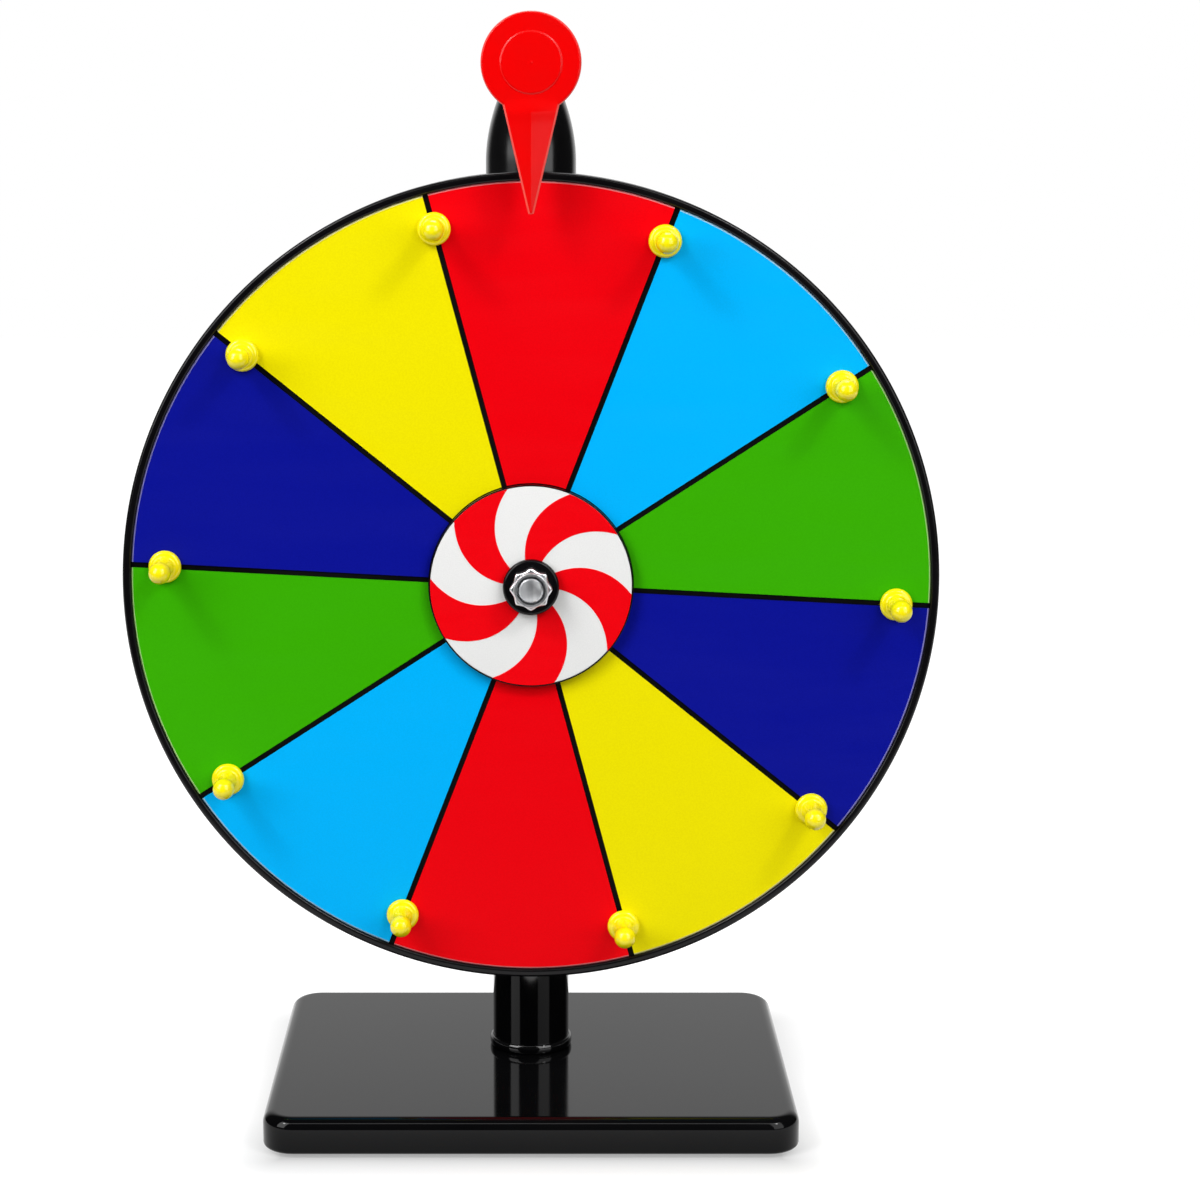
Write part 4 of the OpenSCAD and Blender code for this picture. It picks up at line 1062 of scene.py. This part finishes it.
# Parts that keep their shape but for eased edges: part, name of the piece, and width of the easing in mm
for node, name, ease in (
        ("hub_rear", "hub_flange_rear", 0.4), ("rear_saddle", "saddle_washer", 0.3),
        ("axle_spacer", "axle_sleeve", 0.2), ("pole_bolt", "pole_bolt_socket", 0.25),
        ("pole_washer", "pole_washer_flat", 0.2), ("ballast_plate", "ballast_slab", 0.4)):
    fit(dressed(node, name, ease * MM), node)

# Parts whose own shape is right keep it and take the better finish
for node, part in nodes.items():
    if not part.hide_render:
        part.data.materials.clear()
        part.data.materials.append(finishes[slot_of[node]])


# Studio

def softbox(name, place, aim, width, height, watts):
    """A soft rectangular lamp that looks at a place."""
    clear_selection()
    bpy.ops.object.light_add(type="AREA", location=place)
    lamp = bpy.context.object
    lamp.name = name
    lamp.data.shape = "RECTANGLE"
    lamp.data.size, lamp.data.size_y = width, height
    lamp.data.energy = watts
    lamp.rotation_euler = (Vector(aim) - Vector(place)).to_track_quat("-Z", "Y").to_euler()


def any_of(tree, *sockets):
    """The highest of some values in a node tree."""
    value = sockets[0]
    for socket in sockets[1:]:
        value = calculate(tree, "MAXIMUM", value, socket)
    return value


def beyond_base(tree):
    """Distance of a place on the floor from the base, a little more beside it than in front."""
    high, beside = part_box("base_shell")[1], 7 * MM
    reach = Vector((high.x - beside, high.y, high.z))
    place = tree.nodes.new("ShaderNodeTexCoord").outputs["Object"]
    for operation, value in (("ABSOLUTE", None), ("SUBTRACT", reach), ("MAXIMUM", Vector())):
        step = tree.nodes.new("ShaderNodeVectorMath")
        step.operation = operation
        tree.links.new(place, step.inputs[0])
        if value is not None:
            step.inputs[1].default_value = value
        place = step.outputs["Vector"]
    distance = tree.nodes.new("ShaderNodeVectorMath")
    distance.operation = "LENGTH"
    tree.links.new(place, distance.inputs[0])
    return distance.outputs["Value"]


def pale_floor():
    """White floor: its diffuse part keeps the real shadow, and its glow for straight looks and mirrors is dimmed
    round the base as a painted shadow; the rest of it glows white.
    """
    size, place, grey = 4, (0, 1.6, 0), 0.3
    painted_shadow_w, painted_shadow_fall, painted_shadow_level = 40 * MM, 0.6, 0.36
    clear_selection()
    bpy.ops.mesh.primitive_plane_add(size=size, location=place)
    floor = bpy.context.object
    floor.name = "floor"
    bpy.ops.object.transform_apply(location=True)
    paint = bpy.data.materials.new("floor_white")
    paint.use_nodes = True
    tree = paint.node_tree
    tree.nodes.clear()
    diffuse = tree.nodes.new("ShaderNodeBsdfDiffuse")
    diffuse.inputs["Color"].default_value = (grey, grey, grey, 1)
    glow = tree.nodes.new("ShaderNodeEmission")
    both = tree.nodes.new("ShaderNodeAddShader")
    out = tree.nodes.new("ShaderNodeOutputMaterial")
    # Painted shadow: the glow is dimmed at the base and comes back to full some way from it
    away = spread(tree, beyond_base(tree), 0.0, 1.0, 0, painted_shadow_w)
    painted_shadow_glow = spread(tree, calculate(tree, "POWER", away, painted_shadow_fall), painted_shadow_level, 1.0, 0, 1)
    path = tree.nodes.new("ShaderNodeLightPath").outputs
    straight = any_of(tree, path["Is Camera Ray"], path["Is Glossy Ray"], path["Is Transmission Ray"])
    tree.links.new(calculate(tree, "MULTIPLY", straight, painted_shadow_glow), glow.inputs["Strength"])
    tree.links.new(diffuse.outputs[0], both.inputs[0])
    tree.links.new(glow.outputs[0], both.inputs[1])
    tree.links.new(both.outputs[0], out.inputs["Surface"])
    floor.data.materials.append(paint)


def studio_world():
    """White surroundings for the camera; as light, a white backdrop behind and a dim room in front."""
    room, backdrop_start, backdrop_full = 0.04, 0.6, 0.9
    world = bpy.data.worlds.new("studio")
    bpy.context.scene.world = world
    world.use_nodes = True
    tree = world.node_tree
    background = tree.nodes["Background"]
    background.inputs["Color"].default_value = (1, 1, 1, 1)
    split = tree.nodes.new("ShaderNodeSeparateXYZ")
    tree.links.new(tree.nodes.new("ShaderNodeTexCoord").outputs["Generated"], split.inputs[0])
    backdrop = spread(tree, split.outputs["Y"], room, 1.0, backdrop_start, backdrop_full)
    backdrop.node.interpolation_type = "SMOOTHSTEP"
    path = tree.nodes.new("ShaderNodeLightPath").outputs
    mix = tree.nodes.new("ShaderNodeMix")
    tree.links.new(any_of(tree, path["Is Camera Ray"], path["Is Transmission Ray"]), mix.inputs["Factor"])
    tree.links.new(backdrop, mix.inputs["A"])
    mix.inputs["B"].default_value = 1.0
    tree.links.new(mix.outputs["Result"], background.inputs["Strength"])


def camera():
    """Camera in front of the wheel, a little above it, with the object left of the middle of the picture."""
    place, pitch = (0, -1.0083, 0.3797), math.radians(10.304)
    sensor, lens, shift = 36, 80.07, 0.0575
    clear_selection()
    bpy.ops.object.camera_add(location=place, rotation=(math.pi / 2 - pitch, 0, 0))
    view = bpy.context.object
    view.name = "camera"
    view.data.sensor_width, view.data.lens, view.data.shift_x = sensor, lens, shift
    bpy.context.scene.camera = view


bpy.context.scene.view_settings.view_transform = "Standard"
pale_floor()
studio_world()
# Lamps: name, place, what they look at, width, height and power
softbox("right_box", (0.97, -1.144, 0.96), (0, 0, 0.36), 1.05, 1.7, 16)
softbox("left_box", (-1.149, -0.964, 1.1), (0, 0, 0.36), 0.85, 1.56, 22)
softbox("right_key", (0.884, -0.916, 1.42), (0, 0, 0.16), 0.2, 0.2, 4.9)
softbox("left_key", (-0.975, -0.818, 1.42), (0, 0, 0.16), 0.2, 0.2, 4.9)
softbox("top_strip", (0, -0.98, 1.6), (0, 0, 0.16), 2.0, 0.2, 4)
softbox("rim_box", (0.1, 0.6, 1.7), (0, 0, 0.2), 0.9, 0.6, 10)
camera()
